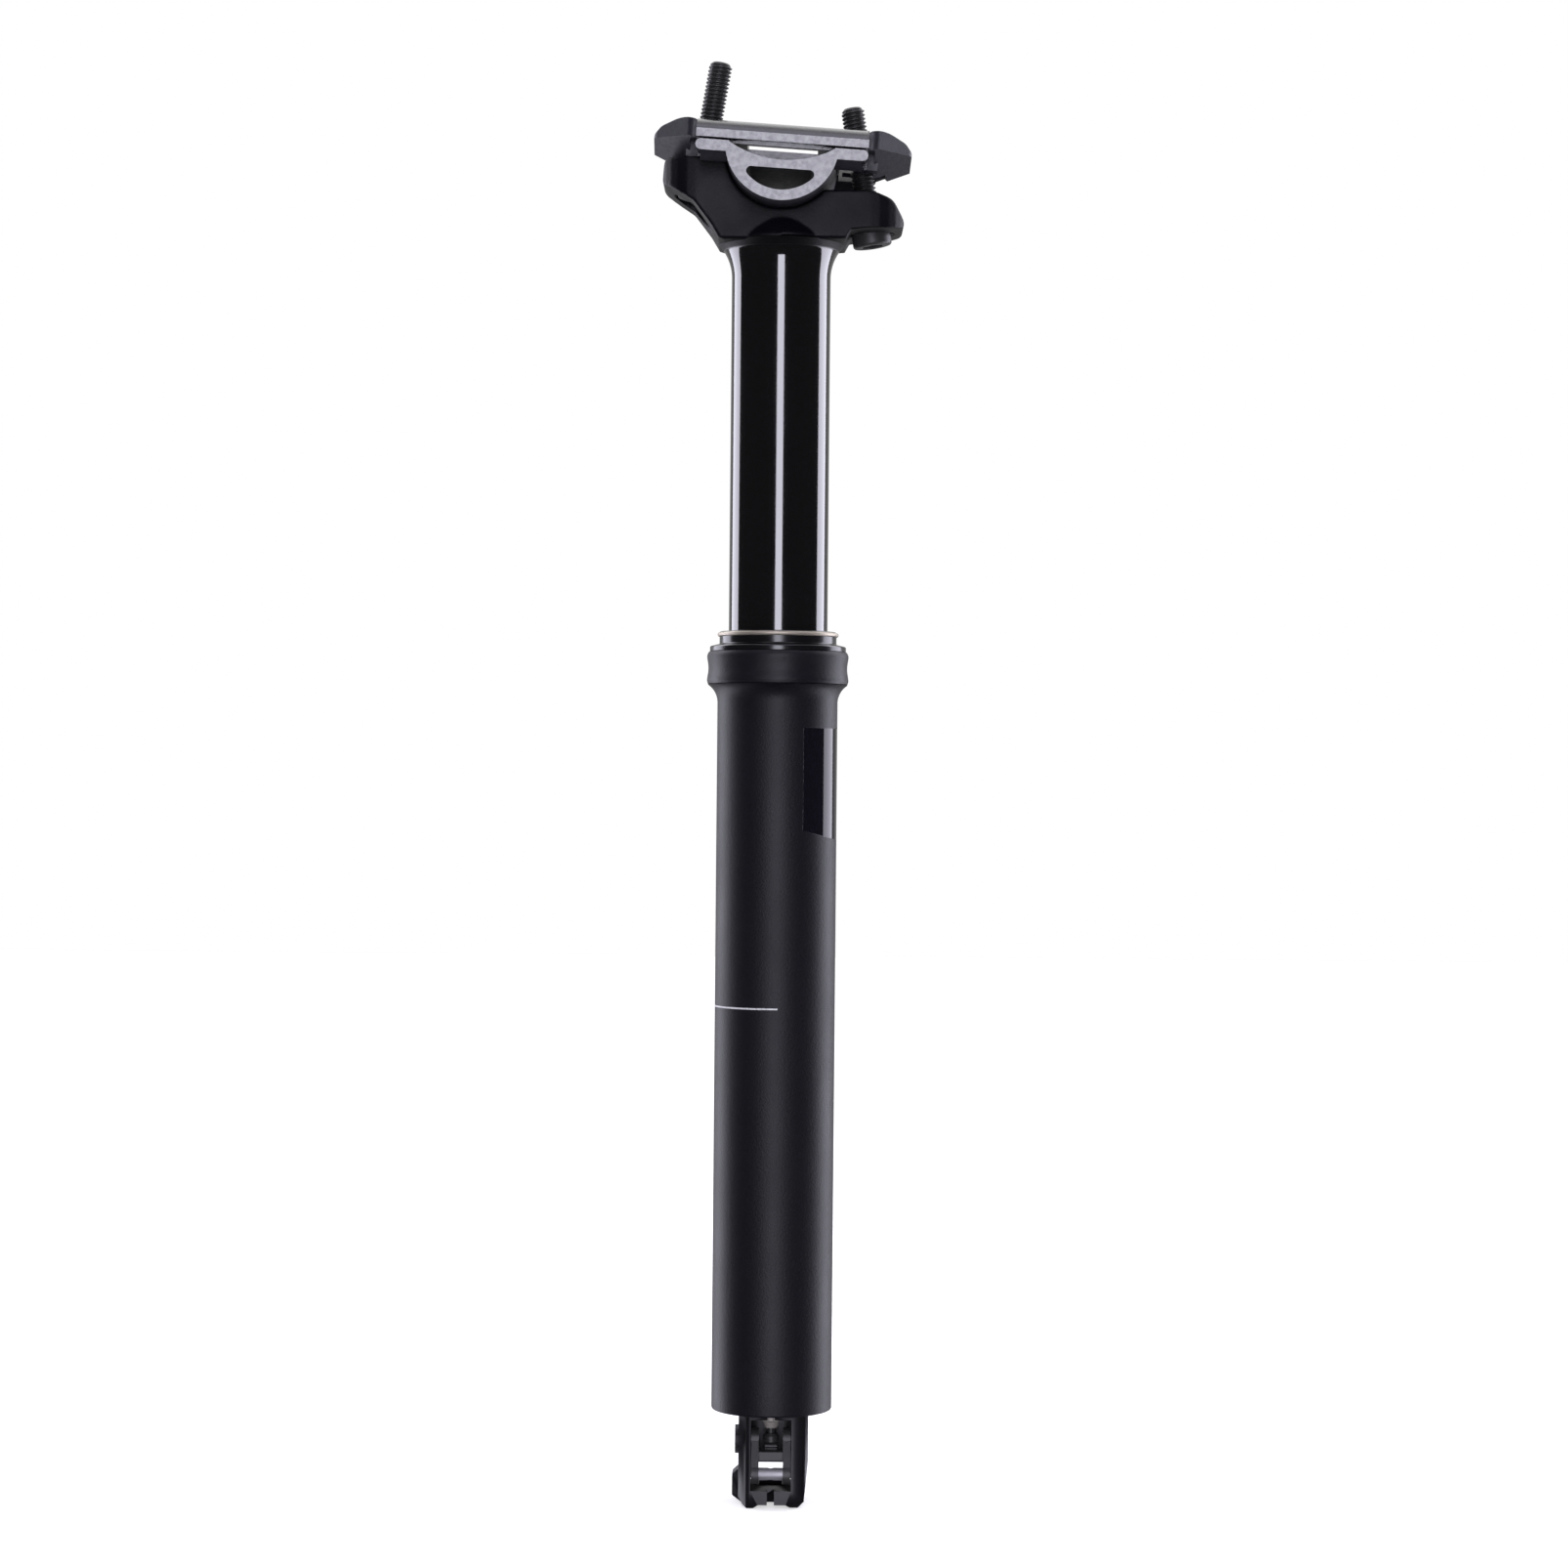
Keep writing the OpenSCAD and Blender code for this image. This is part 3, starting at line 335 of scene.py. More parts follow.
def stand(mesh: bpy.types.Mesh, name: str, finish: bpy.types.Material, smooth: float) -> bpy.types.Object:
    """Gives a mesh its finish and its smooth shading, and makes an object of it.

    Args:
        mesh: The mesh, in its place on the post.
        name: Name of the object.
        finish: Its material.
        smooth: Angle in degrees above which an edge stays sharp.

    Returns:
        The new object.
    """
    mesh.materials.clear()
    mesh.materials.append(finish)
    mesh.shade_smooth()
    mesh.set_sharp_from_angle(angle=math.radians(smooth))
    piece = bpy.data.objects.new(name, mesh)
    bpy.context.collection.objects.link(piece)
    return piece


def dress(node: str, finish: Finish | bpy.types.Material) -> None:
    """Gives a CAD node's object one finish on all its material slots.

    Args:
        node: Name of the node.
        finish: The finish or a material already made.
    """
    material = finish.build() if isinstance(finish, Finish) else finish
    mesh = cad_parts[node].data
    if not mesh.materials:
        mesh.materials.append(material)
    for index in range(len(mesh.materials)):
        mesh.materials[index] = material
    log.info("%s: dressed in %s", node, material.name)


class Surface:
    """A mesh made from grids of points worked out with numpy, in millimetres."""

    def __init__(self) -> None:
        """Starts with no points and no faces."""
        self.points: list[np.ndarray] = []
        self.faces: list[np.ndarray] = []
        self.count = 0

    def grid(self, points: np.ndarray) -> "Surface":
        """Adds a grid of quads whose last column joins the first.

        Args:
            points: Array of rows, columns and 3.

        Returns:
            The surface itself.
        """
        rows, columns = points.shape[:2]
        index = np.arange(rows * columns).reshape(rows, columns) + self.count
        index = np.concatenate([index, index[:, :1]], axis=1)
        quads = np.stack([index[:-1, :-1], index[:-1, 1:], index[1:, 1:], index[1:, :-1]], axis=-1)
        self.points.append(points.reshape(-1, 3))
        self.faces.append(quads.reshape(-1, 4))
        self.count += rows * columns
        return self

    def turned(self, profile: Sequence[Point], steps: int) -> "Surface":
        """Turns a profile about Z: each point (r, z) becomes the circle (r cos t, r sin t, z).

        Args:
            profile: Radii and heights, in millimetres.
            steps: Points round the axis.

        Returns:
            The surface itself.
        """
        shape = np.asarray(profile, dtype=float)
        turn = np.linspace(0.0, 2.0 * math.pi, steps, endpoint=False)
        ring = np.stack([np.cos(turn), np.sin(turn)], axis=-1)
        points = np.empty((len(shape), steps, 3))
        points[..., :2] = shape[:, None, :1] * ring[None]
        points[..., 2] = shape[:, None, 1]
        return self.grid(points)

    def build(
        self, name: str, body: str, finish: bpy.types.Material, slot: str, smooth: float
    ) -> bpy.types.Object:
        """Makes the object, merges its doubles, turns its faces outwards and rides it on a body.

        Args:
            name: Name of the object.
            body: Body that carries it.
            finish: Its material.
            slot: Not used.
            smooth: Angle in degrees above which an edge stays sharp.

        Returns:
            The new object.
        """
        mesh = bpy.data.meshes.new(name)
        mesh.from_pydata(np.concatenate(self.points) * MM, [], np.concatenate(self.faces).tolist())
        shape = bmesh.new()
        shape.from_mesh(mesh)
        bmesh.ops.remove_doubles(shape, verts=shape.verts, dist=1e-7)
        bmesh.ops.recalc_face_normals(shape, faces=shape.faces)
        shape.to_mesh(mesh)
        shape.free()
        piece = stand(mesh, name, finish, smooth)
        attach(piece, body)
        log.info("%s: %d faces on %s", name, len(mesh.polygons), body)
        return piece


TUBE_BLACK = Finish("tube_black", (0.0046, 0.0040, 0.0066), grain=0.0005, bump=0.00006, level=0.26)
SLIDER_GLOSS = Finish("slider_gloss", (0.0022, 0.0022, 0.0026), Shine.GLOSSY, level=1.0)
FORGED_BLACK = Finish("forged_black", (0.0014, 0.0012, 0.0028), grain=0.0006, bump=0.00006, level=0.17)
BLASTED_BLACK = Finish("blasted_black", (0.012, 0.0112, 0.017), grain=0.00042, bump=0.00005)
CRADLE_BLACK = Finish("cradle_black", (0.010, 0.0095, 0.014), grain=0.0005, bump=0.00004, level=0.4)
WIPER_RUBBER = Finish(
    "wiper_rubber", (0.004, 0.004, 0.005), Shine.SLEEK, grain=0.0006, bump=0.000006, mottle=0.3,
)
SOFT_RUBBER = Finish("soft_rubber", (0.012, 0.012, 0.012), Shine.DULL, grain=0.0005, bump=0.00001)
BOLT_BLACK = Finish(
    "bolt_black", (0.004, 0.004, 0.005), Shine.SLEEK, grain=0.00025, bump=0.000008, mottle=0.3, level=0.9,
)
MOULDED_BLACK = Finish("moulded_black", (0.0062, 0.0062, 0.0080), grain=0.00035, bump=0.000014, level=0.42)
BARE_ALLOY = Finish(
    "bare_alloy", (0.52, 0.52, 0.53), Shine.SATIN, metallic=1.0, grain=0.0003, bump=0.000012,
)
GARTER_STEEL = Finish("garter_steel", (0.40, 0.36, 0.30), metallic=0.7, grain=0.00015, bump=0.000008)
PLATED_STEEL = Finish(
    "plated_steel", (0.50, 0.49, 0.47), Shine.SATIN, metallic=1.0, grain=0.0003, bump=0.000008,
)
NUT_ALLOY = Finish("nut_alloy", (0.30, 0.28, 0.25), metallic=0.2, grain=0.0003, bump=0.00001)
BARREL_ALLOY = Finish(
    "barrel_alloy", (0.34, 0.33, 0.35), Shine.DULL, metallic=0.6, grain=0.0004, bump=0.00003, mottle=0.3,
)
KEY_BRASS = Finish("key_brass", (0.62, 0.42, 0.14), Shine.SATIN, metallic=1.0, grain=0.0003, bump=0.000008)
BUSHING_WHITE = Finish("bushing_white", (0.62, 0.60, 0.52), grain=0.0005, bump=0.000008)


@dataclass
class OuterTube:
    """The tube that the frame holds: a turned wall with a flare, and a printed mark and panel in its finish.

    Args:
        radius: Outside radius, in millimetres, as every length here.
        bore: Radius of the bore.
        straight: Height at which the flare begins.
        curve: Radius of the flare's hollow curve.
        flare: Radius at the top of the flare.
        neck: Radius of the neck under the collar.
        top: Height of the neck's top.
        rim: Rounding of the bottom rim.
        line: Height of the thin printed line, and half its width.
        line_end: Place along X where the line ends.
        line_color: Colour of the line's paint.
        panel: Place of the glossy panel's left edge along X, and its lower and upper height.
        panel_slope: Fall of the panel's lower edge for each millimetre to the right.
        grain: Size of the tube's grain.
        bump: Height of the grain.
    """

    radius: float = 15.45
    bore: float = 14.1
    straight: float = 181.4
    curve: float = 5.5
    flare: float = 18.0
    neck: float = 16.0
    top: float = 192.042
    rim: float = 0.5
    line: Point = (103.5, 0.2)
    line_end: float = 0.7
    line_color: Color = (0.62, 0.62, 0.63)
    panel: tuple[float, float, float] = (6.76, 148.8, 174.9)
    panel_slope: float = 0.28
    grain: float = 1.0 / 1.9
    bump: float = 0.06

    def profile(self) -> list[Point]:
        """Lists the wall's outline: rim, outside, flare, neck and bore.

        Returns:
            Radii and heights.
        """
        bend = math.degrees(math.acos((self.radius + self.curve - self.flare) / self.curve))
        outside = arc((self.radius - self.rim, self.rim), self.rim, -90, 0, 6)
        flare = arc((self.radius + self.curve, self.straight), self.curve, 180, 180 - bend, 16)
        lip = flare[-1][1]
        wall = [(self.radius, z) for z in np.linspace(self.rim, self.straight, 24)[1:-1]]
        neck = [(self.neck, lip), (self.neck, self.top), (self.bore, self.top), (self.bore, 0.0)]
        return [(self.bore, 0.0)] + outside + wall + flare + neck

    def material(self) -> bpy.types.Material:
        """Makes satin black with a glossy bare panel and a thin pale line.

        Returns:
            The material.
        """
        paint = Painter("outer_tube_black")
        base = TUBE_BLACK
        shader = paint.shader(base.color, base.shine.value, base.metallic, base.level)
        x, _, z = paint.axes()
        left, low, high = (value * MM for value in self.panel)
        slant = paint.math("MULTIPLY", paint.math("SUBTRACT", x, left), self.panel_slope)
        panel = paint.both(
            paint.above(x, left), paint.above(paint.math("ADD", z, slant), low),
            paint.outside(paint.above(z, high)),
        )
        coated = paint.outside(panel)
        middle, half = (value * MM for value in self.line)
        line = paint.both(
            paint.above(z, middle - half), paint.outside(paint.above(z, middle + half)),
            paint.outside(paint.above(x, self.line_end * MM)),
        )
        worn = paint.remap(paint.noise(2200.0, 3.0), 0.75, 1.0, 0.38, 0.5)
        color = paint.mix(Blend.COLOR, paint.both(line, worn), (*base.color, 1.0), (*self.line_color, 1.0))
        paint.link(color, shader, "Base Color")
        slow = paint.noise(55.0, 4.0)
        coated_rough = paint.both(paint.remap(slow, 0.45, 0.50), coated)
        panel_rough = paint.both(paint.remap(slow, 0.07, 0.10), panel)
        paint.link(paint.math("ADD", coated_rough, panel_rough), shader, "Roughness")
        grain = paint.both(paint.noise(1.0 / (self.grain * MM), 4.0), coated)
        paint.link(paint.bump(grain, self.bump * MM), shader, "Normal")
        return paint.output(shader)

    def build(self) -> None:
        """Builds the tube in place of its CAD node."""
        wall = Surface().turned(self.profile(), 192)
        tube = wall.build("tube_wall", "post", self.material(), "matte_black", 35.0)
        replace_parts(tube, "outer_tube")


@dataclass
class Collar:
    """The screwed collar: two ridges with a hollow between them.

    Args:
        low: Height of its lower face, in millimetres, as every length here.
        high: Height of its upper face.
        inner: Radius of its thread.
        edge: Radius at the two faces.
        ridge: Radius over the ridges.
        waist: Depth of the hollow.
    """

    low: float = 186.042
    high: float = 194.442
    inner: float = 16.05
    edge: float = 17.75
    ridge: float = 18.25
    waist: float = 0.35

    def build(self) -> None:
        """Builds the collar. Between its ridges the radius falls by waist (1 - s^2)^2, for s from -1 to 1."""
        s = np.linspace(-1.0, 1.0, 25)
        height = self.low + 1.0 + (self.high - self.low - 2.0) * (s + 1.0) / 2.0
        radius = self.ridge - 0.05 - self.waist * (1.0 - s**2) ** 2
        profile = (
            [(self.inner, self.low), (self.edge, self.low), (self.ridge - 0.25, self.low + 0.25)]
            + [(self.ridge - 0.12, self.low + 0.75)] + list(zip(radius, height))
            + [(self.ridge - 0.2, self.high - 0.55), (self.edge, self.high)]
            + [(self.inner, self.high), (self.inner, self.low)]
        )
        black = TUBE_BLACK.build()
        ring = Surface().turned(profile, 192).build("collar_ring", "post", black, "matte_black", 28.0)
        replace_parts(ring, "seal_collar")


@dataclass
class Wiper:
    """The wiper with its flange and lip, and the garter ring in its groove.

    Args:
        low: Height of the collar's top, in millimetres, as every length here.
        top: Height of the wiper's lip.
        seat: Height of its lower end inside the collar.
        inner: Radius of the lip.
        body: Radius of the part inside the collar.
        flange: Radius of the flange.
        waist: Radius of the wall that carries the ring.
        wire: Radius of the ring's section.
    """

    low: float = 194.442
    top: float = 199.642
    seat: float = 192.042
    inner: float = 12.75
    body: float = 16.0
    flange: float = 17.5
    waist: float = 15.05
    wire: float = 0.55

    def profile(self) -> list[Point]:
        """Lists the rubber's outline: body, rounded flange, waist, lip and the relieved bore.

        Returns:
            Radii and heights.
        """
        low, top, inner = self.low, self.top, self.inner
        return (
            [(inner, self.seat), (self.body, self.seat), (self.body, low), (self.flange - 0.2, low)]
            + arc((self.flange - 0.25, low + 0.25), 0.25, -90, 0, 4)
            + arc((self.flange - 0.4, low + 1.1), 0.4, 0, 80, 6)
            + [(self.waist + 0.35, low + 1.95)]
            + arc((self.waist + 0.3, low + 2.25), 0.3, 260, 180, 4)
            + arc((self.waist - 0.35, top - 0.35), 0.35, 0, 90, 5)
            + [(inner + 0.3, top), (inner, top - 0.12), (inner, top - 1.0), (inner + 0.45, top - 2.0)]
            + [(inner + 0.45, self.seat + 1.5), (inner, self.seat + 0.8), (inner, self.seat)]
        )

    def build(self) -> None:
        """Builds the rubber ring and the wire ring, a torus of radius waist and section wire."""
        rubber, steel = WIPER_RUBBER.build(), GARTER_STEEL.build()
        seal = Surface().turned(self.profile(), 160).build("wiper_lip", "post", rubber, "seal_rubber", 35.0)
        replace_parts(seal, "wiper_seal")
        section = arc((self.waist, self.top - 0.75), self.wire, 0, 360, 20)
        ring = Surface().turned(section, 160).build("garter_ring", "post", steel, "bright_steel", 60.0)
        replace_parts(ring, "wiper_spring")


@dataclass
class Slider:
    """The inner tube with its forged head.

    Args:
        radius: Outside radius, in millimetres, as every length here.
        bore: Radius of the bore.
        low: Height of the lower end.
        flare: Height at which the tube widens to the head.
        foot: Height of the head's foot.
        foot_radius: Radius of the foot.
        seat: Radius of the bushing's seat, and its lower and upper height.
        matte_rim: How far under the foot the gloss ends.
        voxel: Grid of the softened head.
        softening: How many times the grid is smoothed.
        skirt: Depth of the head's skirt below the foot.
        tuck_in: How far the skirt is drawn in, and over what height it comes to that.
        arm_reach: Places along the front arm.
        arm_rise: How far the arm's underside rises at each of them.
        arm_fixed: Height over the foot above which the arm stays as it is.
        nose_reach: Places along the front arm where the clamp's nose comes down.
        nose_free: Height that the nose leaves free at each of them.
        nose_half: Half the width of the nose, with a little room.
    """

    radius: float = 12.7
    bore: float = 10.7
    low: float = 104.05
    flare: float = 290.492
    foot: float = 299.292
    foot_radius: float = 16.3
    seat: tuple[float, float, float] = (12.45, 105.55, 123.55)
    matte_rim: float = 1.9
    voxel: float = 0.36
    softening: int = 7
    skirt: float = 0.6
    tuck_in: Point = (0.9, 0.4)
    arm_reach: tuple[float, ...] = (16.4, 17.6, 21.5, 27.0, 31.0)
    arm_rise: tuple[float, ...] = (0.3, 2.4, 2.6, 2.5, 2.1)
    arm_fixed: float = 5.2
    nose_reach: tuple[float, ...] = (20.5, 22.0, 22.6, 23.2)
    nose_free: tuple[float, ...] = (311.23, 310.6, 310.6, 312.4)
    nose_half: float = 10.7

    def tube(self) -> bpy.types.Object:
        """Builds the plain tube up to the head's foot: its flare is an arc that touches the tube.

        Returns:
            The tube.
        """
        rise, out = self.foot - self.flare, self.foot_radius - self.radius
        curve = (rise**2 + out**2) / (2.0 * out)
        bend = math.degrees(math.asin(rise / curve))
        seat, seat_low, seat_high = self.seat
        profile = (
            [(self.bore, self.low), (self.radius - 0.3, self.low), (self.radius, self.low + 0.3)]
            + [(self.radius, seat_low), (seat, seat_low), (seat, seat_high), (self.radius, seat_high)]
            + [(self.radius, z) for z in np.linspace(seat_high, self.flare, 26)[1:-1]]
            + arc((self.radius + curve, self.flare), curve, 180, 180 - bend, 20)
            + [(self.foot_radius - 0.25, self.foot + 0.02), (self.bore, self.foot), (self.bore, self.low)]
        )
        wall = Surface().turned(profile, 192)
        return wall.build("slider_tube", "slider", self.material(), "gloss_black", 35.0)

    def material(self) -> bpy.types.Material:
        """Makes glossy black that turns matte just under the head's foot.

        Returns:
            The material.
        """
        paint = Painter("slider_gloss_to_matte")
        gloss, matte = SLIDER_GLOSS, FORGED_BLACK
        shader = paint.shader(gloss.color, gloss.shine.value, gloss.metallic, gloss.level)
        _, _, z = paint.axes()
        forged = paint.above(z, (self.foot - self.matte_rim) * MM, 0.00025)
        slow = paint.noise(60.0, 4.0)
        smooth = paint.both(paint.remap(slow, 0.07, 0.11), paint.outside(forged))
        rough = paint.both(paint.remap(slow, 0.42, 0.52), forged)
        paint.link(paint.math("ADD", smooth, rough), shader, "Roughness")
        level = paint.math("ADD", gloss.level, paint.math("MULTIPLY", forged, matte.level - gloss.level))
        paint.link(level, shader, "Specular IOR Level")
        grain = paint.both(paint.noise(1.0 / matte.grain, 3.0), forged)
        paint.link(paint.bump(grain, matte.bump), shader, "Normal")
        return paint.output(shader)

    def softened(self) -> bpy.types.Mesh:
        """Cuts a merged copy of the CAD shape off under the foot, and softens it by a voxel grid.

        Returns:
            The softened head, in metres.
        """
        shape = merged("inner_tube")
        cut = (self.foot - self.skirt) * MM
        parts = shape.verts[:] + shape.edges[:] + shape.faces[:]
        bmesh.ops.bisect_plane(shape, geom=parts, plane_co=(0, 0, cut), plane_no=(0, 0, 1), clear_inner=True)
        edges = [edge for edge in shape.edges if edge.is_boundary]
        bmesh.ops.holes_fill(shape, edges=edges, sides=0)
        rough = bpy.data.meshes.new("head_rough")
        shape.to_mesh(rough)
        shape.free()
        blank = bpy.data.objects.new("head_rough", rough)
        bpy.context.collection.objects.link(blank)
        grid = blank.modifiers.new("grid", "REMESH")
        grid.mode = "VOXEL"
        grid.voxel_size = self.voxel * MM
        soft = blank.modifiers.new("soft", "SMOOTH")
        soft.factor = 0.5
        soft.iterations = self.softening
        bpy.context.view_layer.update()
        made = bpy.data.meshes.new_from_object(blank.evaluated_get(bpy.context.evaluated_depsgraph_get()))
        bpy.data.objects.remove(blank)
        bpy.data.meshes.remove(rough)
        made.name = "forged_head"
        return made

    def head(self) -> bpy.types.Object:
        """Builds the head: the softened copy, tucked in, lifted and relieved.

        Returns:
            The head.
        """
        made = self.softened()
        points = np.empty(len(made.vertices) * 3)
        made.vertices.foreach_get("co", points)
        points = points.reshape(-1, 3) / MM
        self.tuck(points)
        self.lift(points)
        self.relieve(points)
        made.vertices.foreach_set("co", (points * MM).reshape(-1))
        made.update()
        piece = stand(made, "forged_head", FORGED_BLACK.build(), 180.0)
        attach(piece, "slider")
        log.info("forged_head: %d faces on slider", len(made.polygons))
        return piece

    def tuck(self, points: np.ndarray) -> None:
        """Draws the skirt below the foot inside the tube: each radius there shrinks by up to the tuck.

        Args:
            points: The head's points in millimetres, changed in place.
        """
        depth, height = self.tuck_in
        radius = np.hypot(points[:, 0], points[:, 1])
        below = np.clip((self.foot - points[:, 2]) / height, 0.0, 1.0)
        points[:, :2] *= (1.0 - depth * below / np.maximum(radius, 1.0))[:, None]

    def lift(self, points: np.ndarray) -> None:
        """Thins the front arm from below, as it is in the photograph: a point at the underside rises by the
        arm's rise there, and a point further up by less, down to nothing at the fixed height.

        Args:
            points: The head's points in millimetres, changed in place.
        """
        x, z = points[:, 0], points[:, 2] - self.foot
        rise = np.interp(x, self.arm_reach, self.arm_rise)
        share = np.clip(1.0 - z / self.arm_fixed, 0.0, 1.0)
        points[:, 2] += np.where(x > 0, rise * share, 0.0)

    def relieve(self, points: np.ndarray) -> None:
        """Keeps the front arm's top clear of the upper clamp's nose where the clamp tilts furthest: a point
        that stands above the nose's line there is lowered to it.

        Args:
            points: The head's points in millimetres, changed in place.
        """
        x, y, z = points.T
        limit = np.interp(x, self.nose_reach, self.nose_free)
        under = (x > self.nose_reach[0]) & (x < self.nose_reach[-1])
        near = under & (np.abs(y) < self.nose_half) & (z < limit + 0.8)
        points[:, 2] = np.where(near, np.minimum(z, limit), z)

    def build(self) -> None:
        """Builds both pieces in place of the inner tube's CAD node."""
        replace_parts(self.tube(), "inner_tube")
        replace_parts(self.head(), "inner_tube")


@dataclass
class ClampBolts:
    """The two M6 socket head bolts, with real threads.

    Args:
        front: Line of the front bolt.
        rear: Line of the rear bolt.
        root: Radius of the thread's root, in millimetres, as every length here.
        crest: Radius of its crest.
        pitch: Pitch.
        flat: Share of half a pitch that the root's flat takes.
        flank: Share of it that the flank takes.
        plain: Length of the plain shank under the head.
        length: Length under the head.
        tip: Radius of the tip where its bevel starts.
        head: Radius and height of the head.
        socket: Width across the socket's flats and its depth.
        columns: Points round the bolt.
    """

    front: Line = Line(22.55, 304.892, -8.975)
    rear: Line = Line(-20.95, 316.292, 9.692)
    root: float = 2.45
    crest: float = 2.98
    pitch: float = 1.0
    flat: float = 0.18
    flank: float = 0.62
    plain: float = 5.5
    length: float = 30.0
    tip: float = 2.1
    head: Point = (5.0, 6.0)
    socket: Point = (5.0, 3.0)
    columns: int = 72

    def turn(self) -> np.ndarray:
        """Gives the angle of each column, in radians."""
        return np.linspace(0.0, 2.0 * math.pi, self.columns, endpoint=False)

    def rings(self, rows: Sequence[tuple[np.ndarray | float, float]]) -> np.ndarray:
        """Works out rings of points (r cos t, r sin t, z).

        Args:
            rows: Radius of each ring, one number or one to a column, and its height.

        Returns:
            Grid of points.
        """
        radius = np.stack([np.broadcast_to(row[0], self.columns) for row in rows])
        height = np.broadcast_to(np.array([row[1] for row in rows])[:, None], radius.shape)
        return np.stack([radius * np.cos(self.turn()), radius * np.sin(self.turn()), height], axis=-1)

    def shank(self) -> np.ndarray:
        """Works out the thread: radius = root + (crest - root) w(f), where f is the part of
        z / pitch - t / 2 pi past a whole number, and w rises and falls as a trapezoid. The thread fades in
        above the plain shank and is cut by the tip's bevel.

        Returns:
            Grid of points from the head to the tip.
        """
        turn = self.turn()[None, :]
        threaded = np.arange(self.plain - 0.5, self.length, self.pitch / 11.0)
        height = np.concatenate([[0.0, 0.3], threaded, [self.length]])
        z = np.broadcast_to(height[:, None], (len(height), self.columns))
        phase = (z / self.pitch - turn / (2.0 * math.pi)) % 1.0
        wave = np.clip((np.abs(2.0 * phase - 1.0) - self.flat) / self.flank, 0.0, 1.0)
        start = np.clip((z - self.plain) / self.pitch, 0.0, 1.0)
        radius = self.crest - (self.crest - self.root) * (1.0 - wave) * start
        radius = np.minimum(radius, self.tip + (self.length - z))
        return np.stack([radius * np.cos(turn), radius * np.sin(turn), z], axis=-1)

    def cap(self) -> np.ndarray:
        """Works out the head from the socket's floor to its underside. The socket's radius is the hexagon's,
        half its width over cos(t - 60 round(t / 60)), and every other row is a circle.

        Returns:
            Grid of points.
        """
        turn = self.turn()
        sixth = math.pi / 3.0
        hexagon = (self.socket[0] / 2.0) / np.cos(turn - sixth * np.round(turn / sixth))
        width, tall = self.head
        floor = self.socket[1] - tall
        return self.rings([
            (0.02, floor + 0.5), (hexagon * 0.55, floor + 0.02), (hexagon * 0.96, floor),
            (hexagon, floor - 0.08), (hexagon, 0.3 - tall), (hexagon + 0.05, 0.12 - tall),
            (hexagon + 0.25, -tall), (3.6, -tall), (width - 0.75, -tall), (width - 0.35, 0.1 - tall),
            (width - 0.1, 0.35 - tall), (width, 0.75 - tall), (width, -tall / 2), (width, -0.15),
            (width - 0.15, 0.0), (self.crest + 0.2, 0.0),
        ])

    def build(self) -> None:
        """Builds both bolts in place of their CAD nodes."""
        tip = self.rings([(1.6, self.length), (0.02, self.length - 0.05)])
        points = np.concatenate([self.cap(), self.shank(), tip])
        for name, node, body, line in (
            ("front_screw_thread", "front_bolt", "front_screw", self.front),
            ("rear_screw_thread", "rear_bolt", "rear_screw", self.rear),
        ):
            bolt = Surface().grid(line.place(points))
            piece = bolt.build(name, body, BOLT_BLACK.build(), "bolt_black", 38.0)
            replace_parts(piece, node)


@dataclass
class SaddleClamp:
    """The rocking cradle and the upper clamp, with bare machined end faces.

    Args:
        face: Distance of the end faces from the middle, in millimetres.
        back: Half the length of the clamp's smooth back between its noses.
        bare: Darkest and palest colour of the machined faces.
        bare_metallic: Metallic weight of the machined faces.
        polish: How much less rough the upper clamp's back is than its noses.
    """

    face: float = 25.93
    back: float = 21.5
    bare: tuple[Color, Color] = ((0.20, 0.20, 0.205), (0.38, 0.38, 0.385))
    bare_metallic: float = 0.35
    polish: float = 0.32

    def material(self, base: Finish, polish: float) -> bpy.types.Material:
        """Makes a black finish that turns to bare machined alloy on the two end faces.

        Args:
            base: The black finish.
            polish: How much less rough the middle is than the rest.

        Returns:
            The material.
        """
        paint = Painter(base.name + "_machined")
        shader = paint.shader(base.color, base.shine.value, base.metallic, base.level)
        x, y, _ = paint.axes()
        side = paint.above(paint.math("ABSOLUTE", y), self.face * MM, 0.00002)
        middle = paint.outside(paint.above(paint.math("ABSOLUTE", x), self.back * MM))
        cloud = paint.noise(900.0, 5.0)
        dark, pale = ((*tone, 1.0) for tone in self.bare)
        bare = paint.mix(Blend.COLOR, paint.remap(cloud, 0.0, 1.0, 0.35, 0.65), dark, pale)
        paint.link(paint.mix(Blend.COLOR, side, (*base.color, 1.0), bare), shader, "Base Color")
        paint.link(paint.math("MULTIPLY", side, self.bare_metallic), shader, "Metallic")
        polished = paint.math("MULTIPLY", paint.both(middle, paint.outside(side)), polish)
        paint.link(paint.math("SUBTRACT", paint.remap(cloud, 0.38, 0.55), polished), shader, "Roughness")
        paint.link(paint.bump(paint.noise(1.0 / base.grain, 3.0), base.bump), shader, "Normal")
        return paint.output(shader)

    def build(self) -> None:
        """Dresses the clamp, its nuts and its washers."""
        dress("lower_cradle", self.material(CRADLE_BLACK, 0.0))
        dress("upper_clamp", self.material(BLASTED_BLACK, self.polish))
        for node in ("front_nut", "rear_nut", "front_washer", "rear_washer"):
            dress(node, PLATED_STEEL)


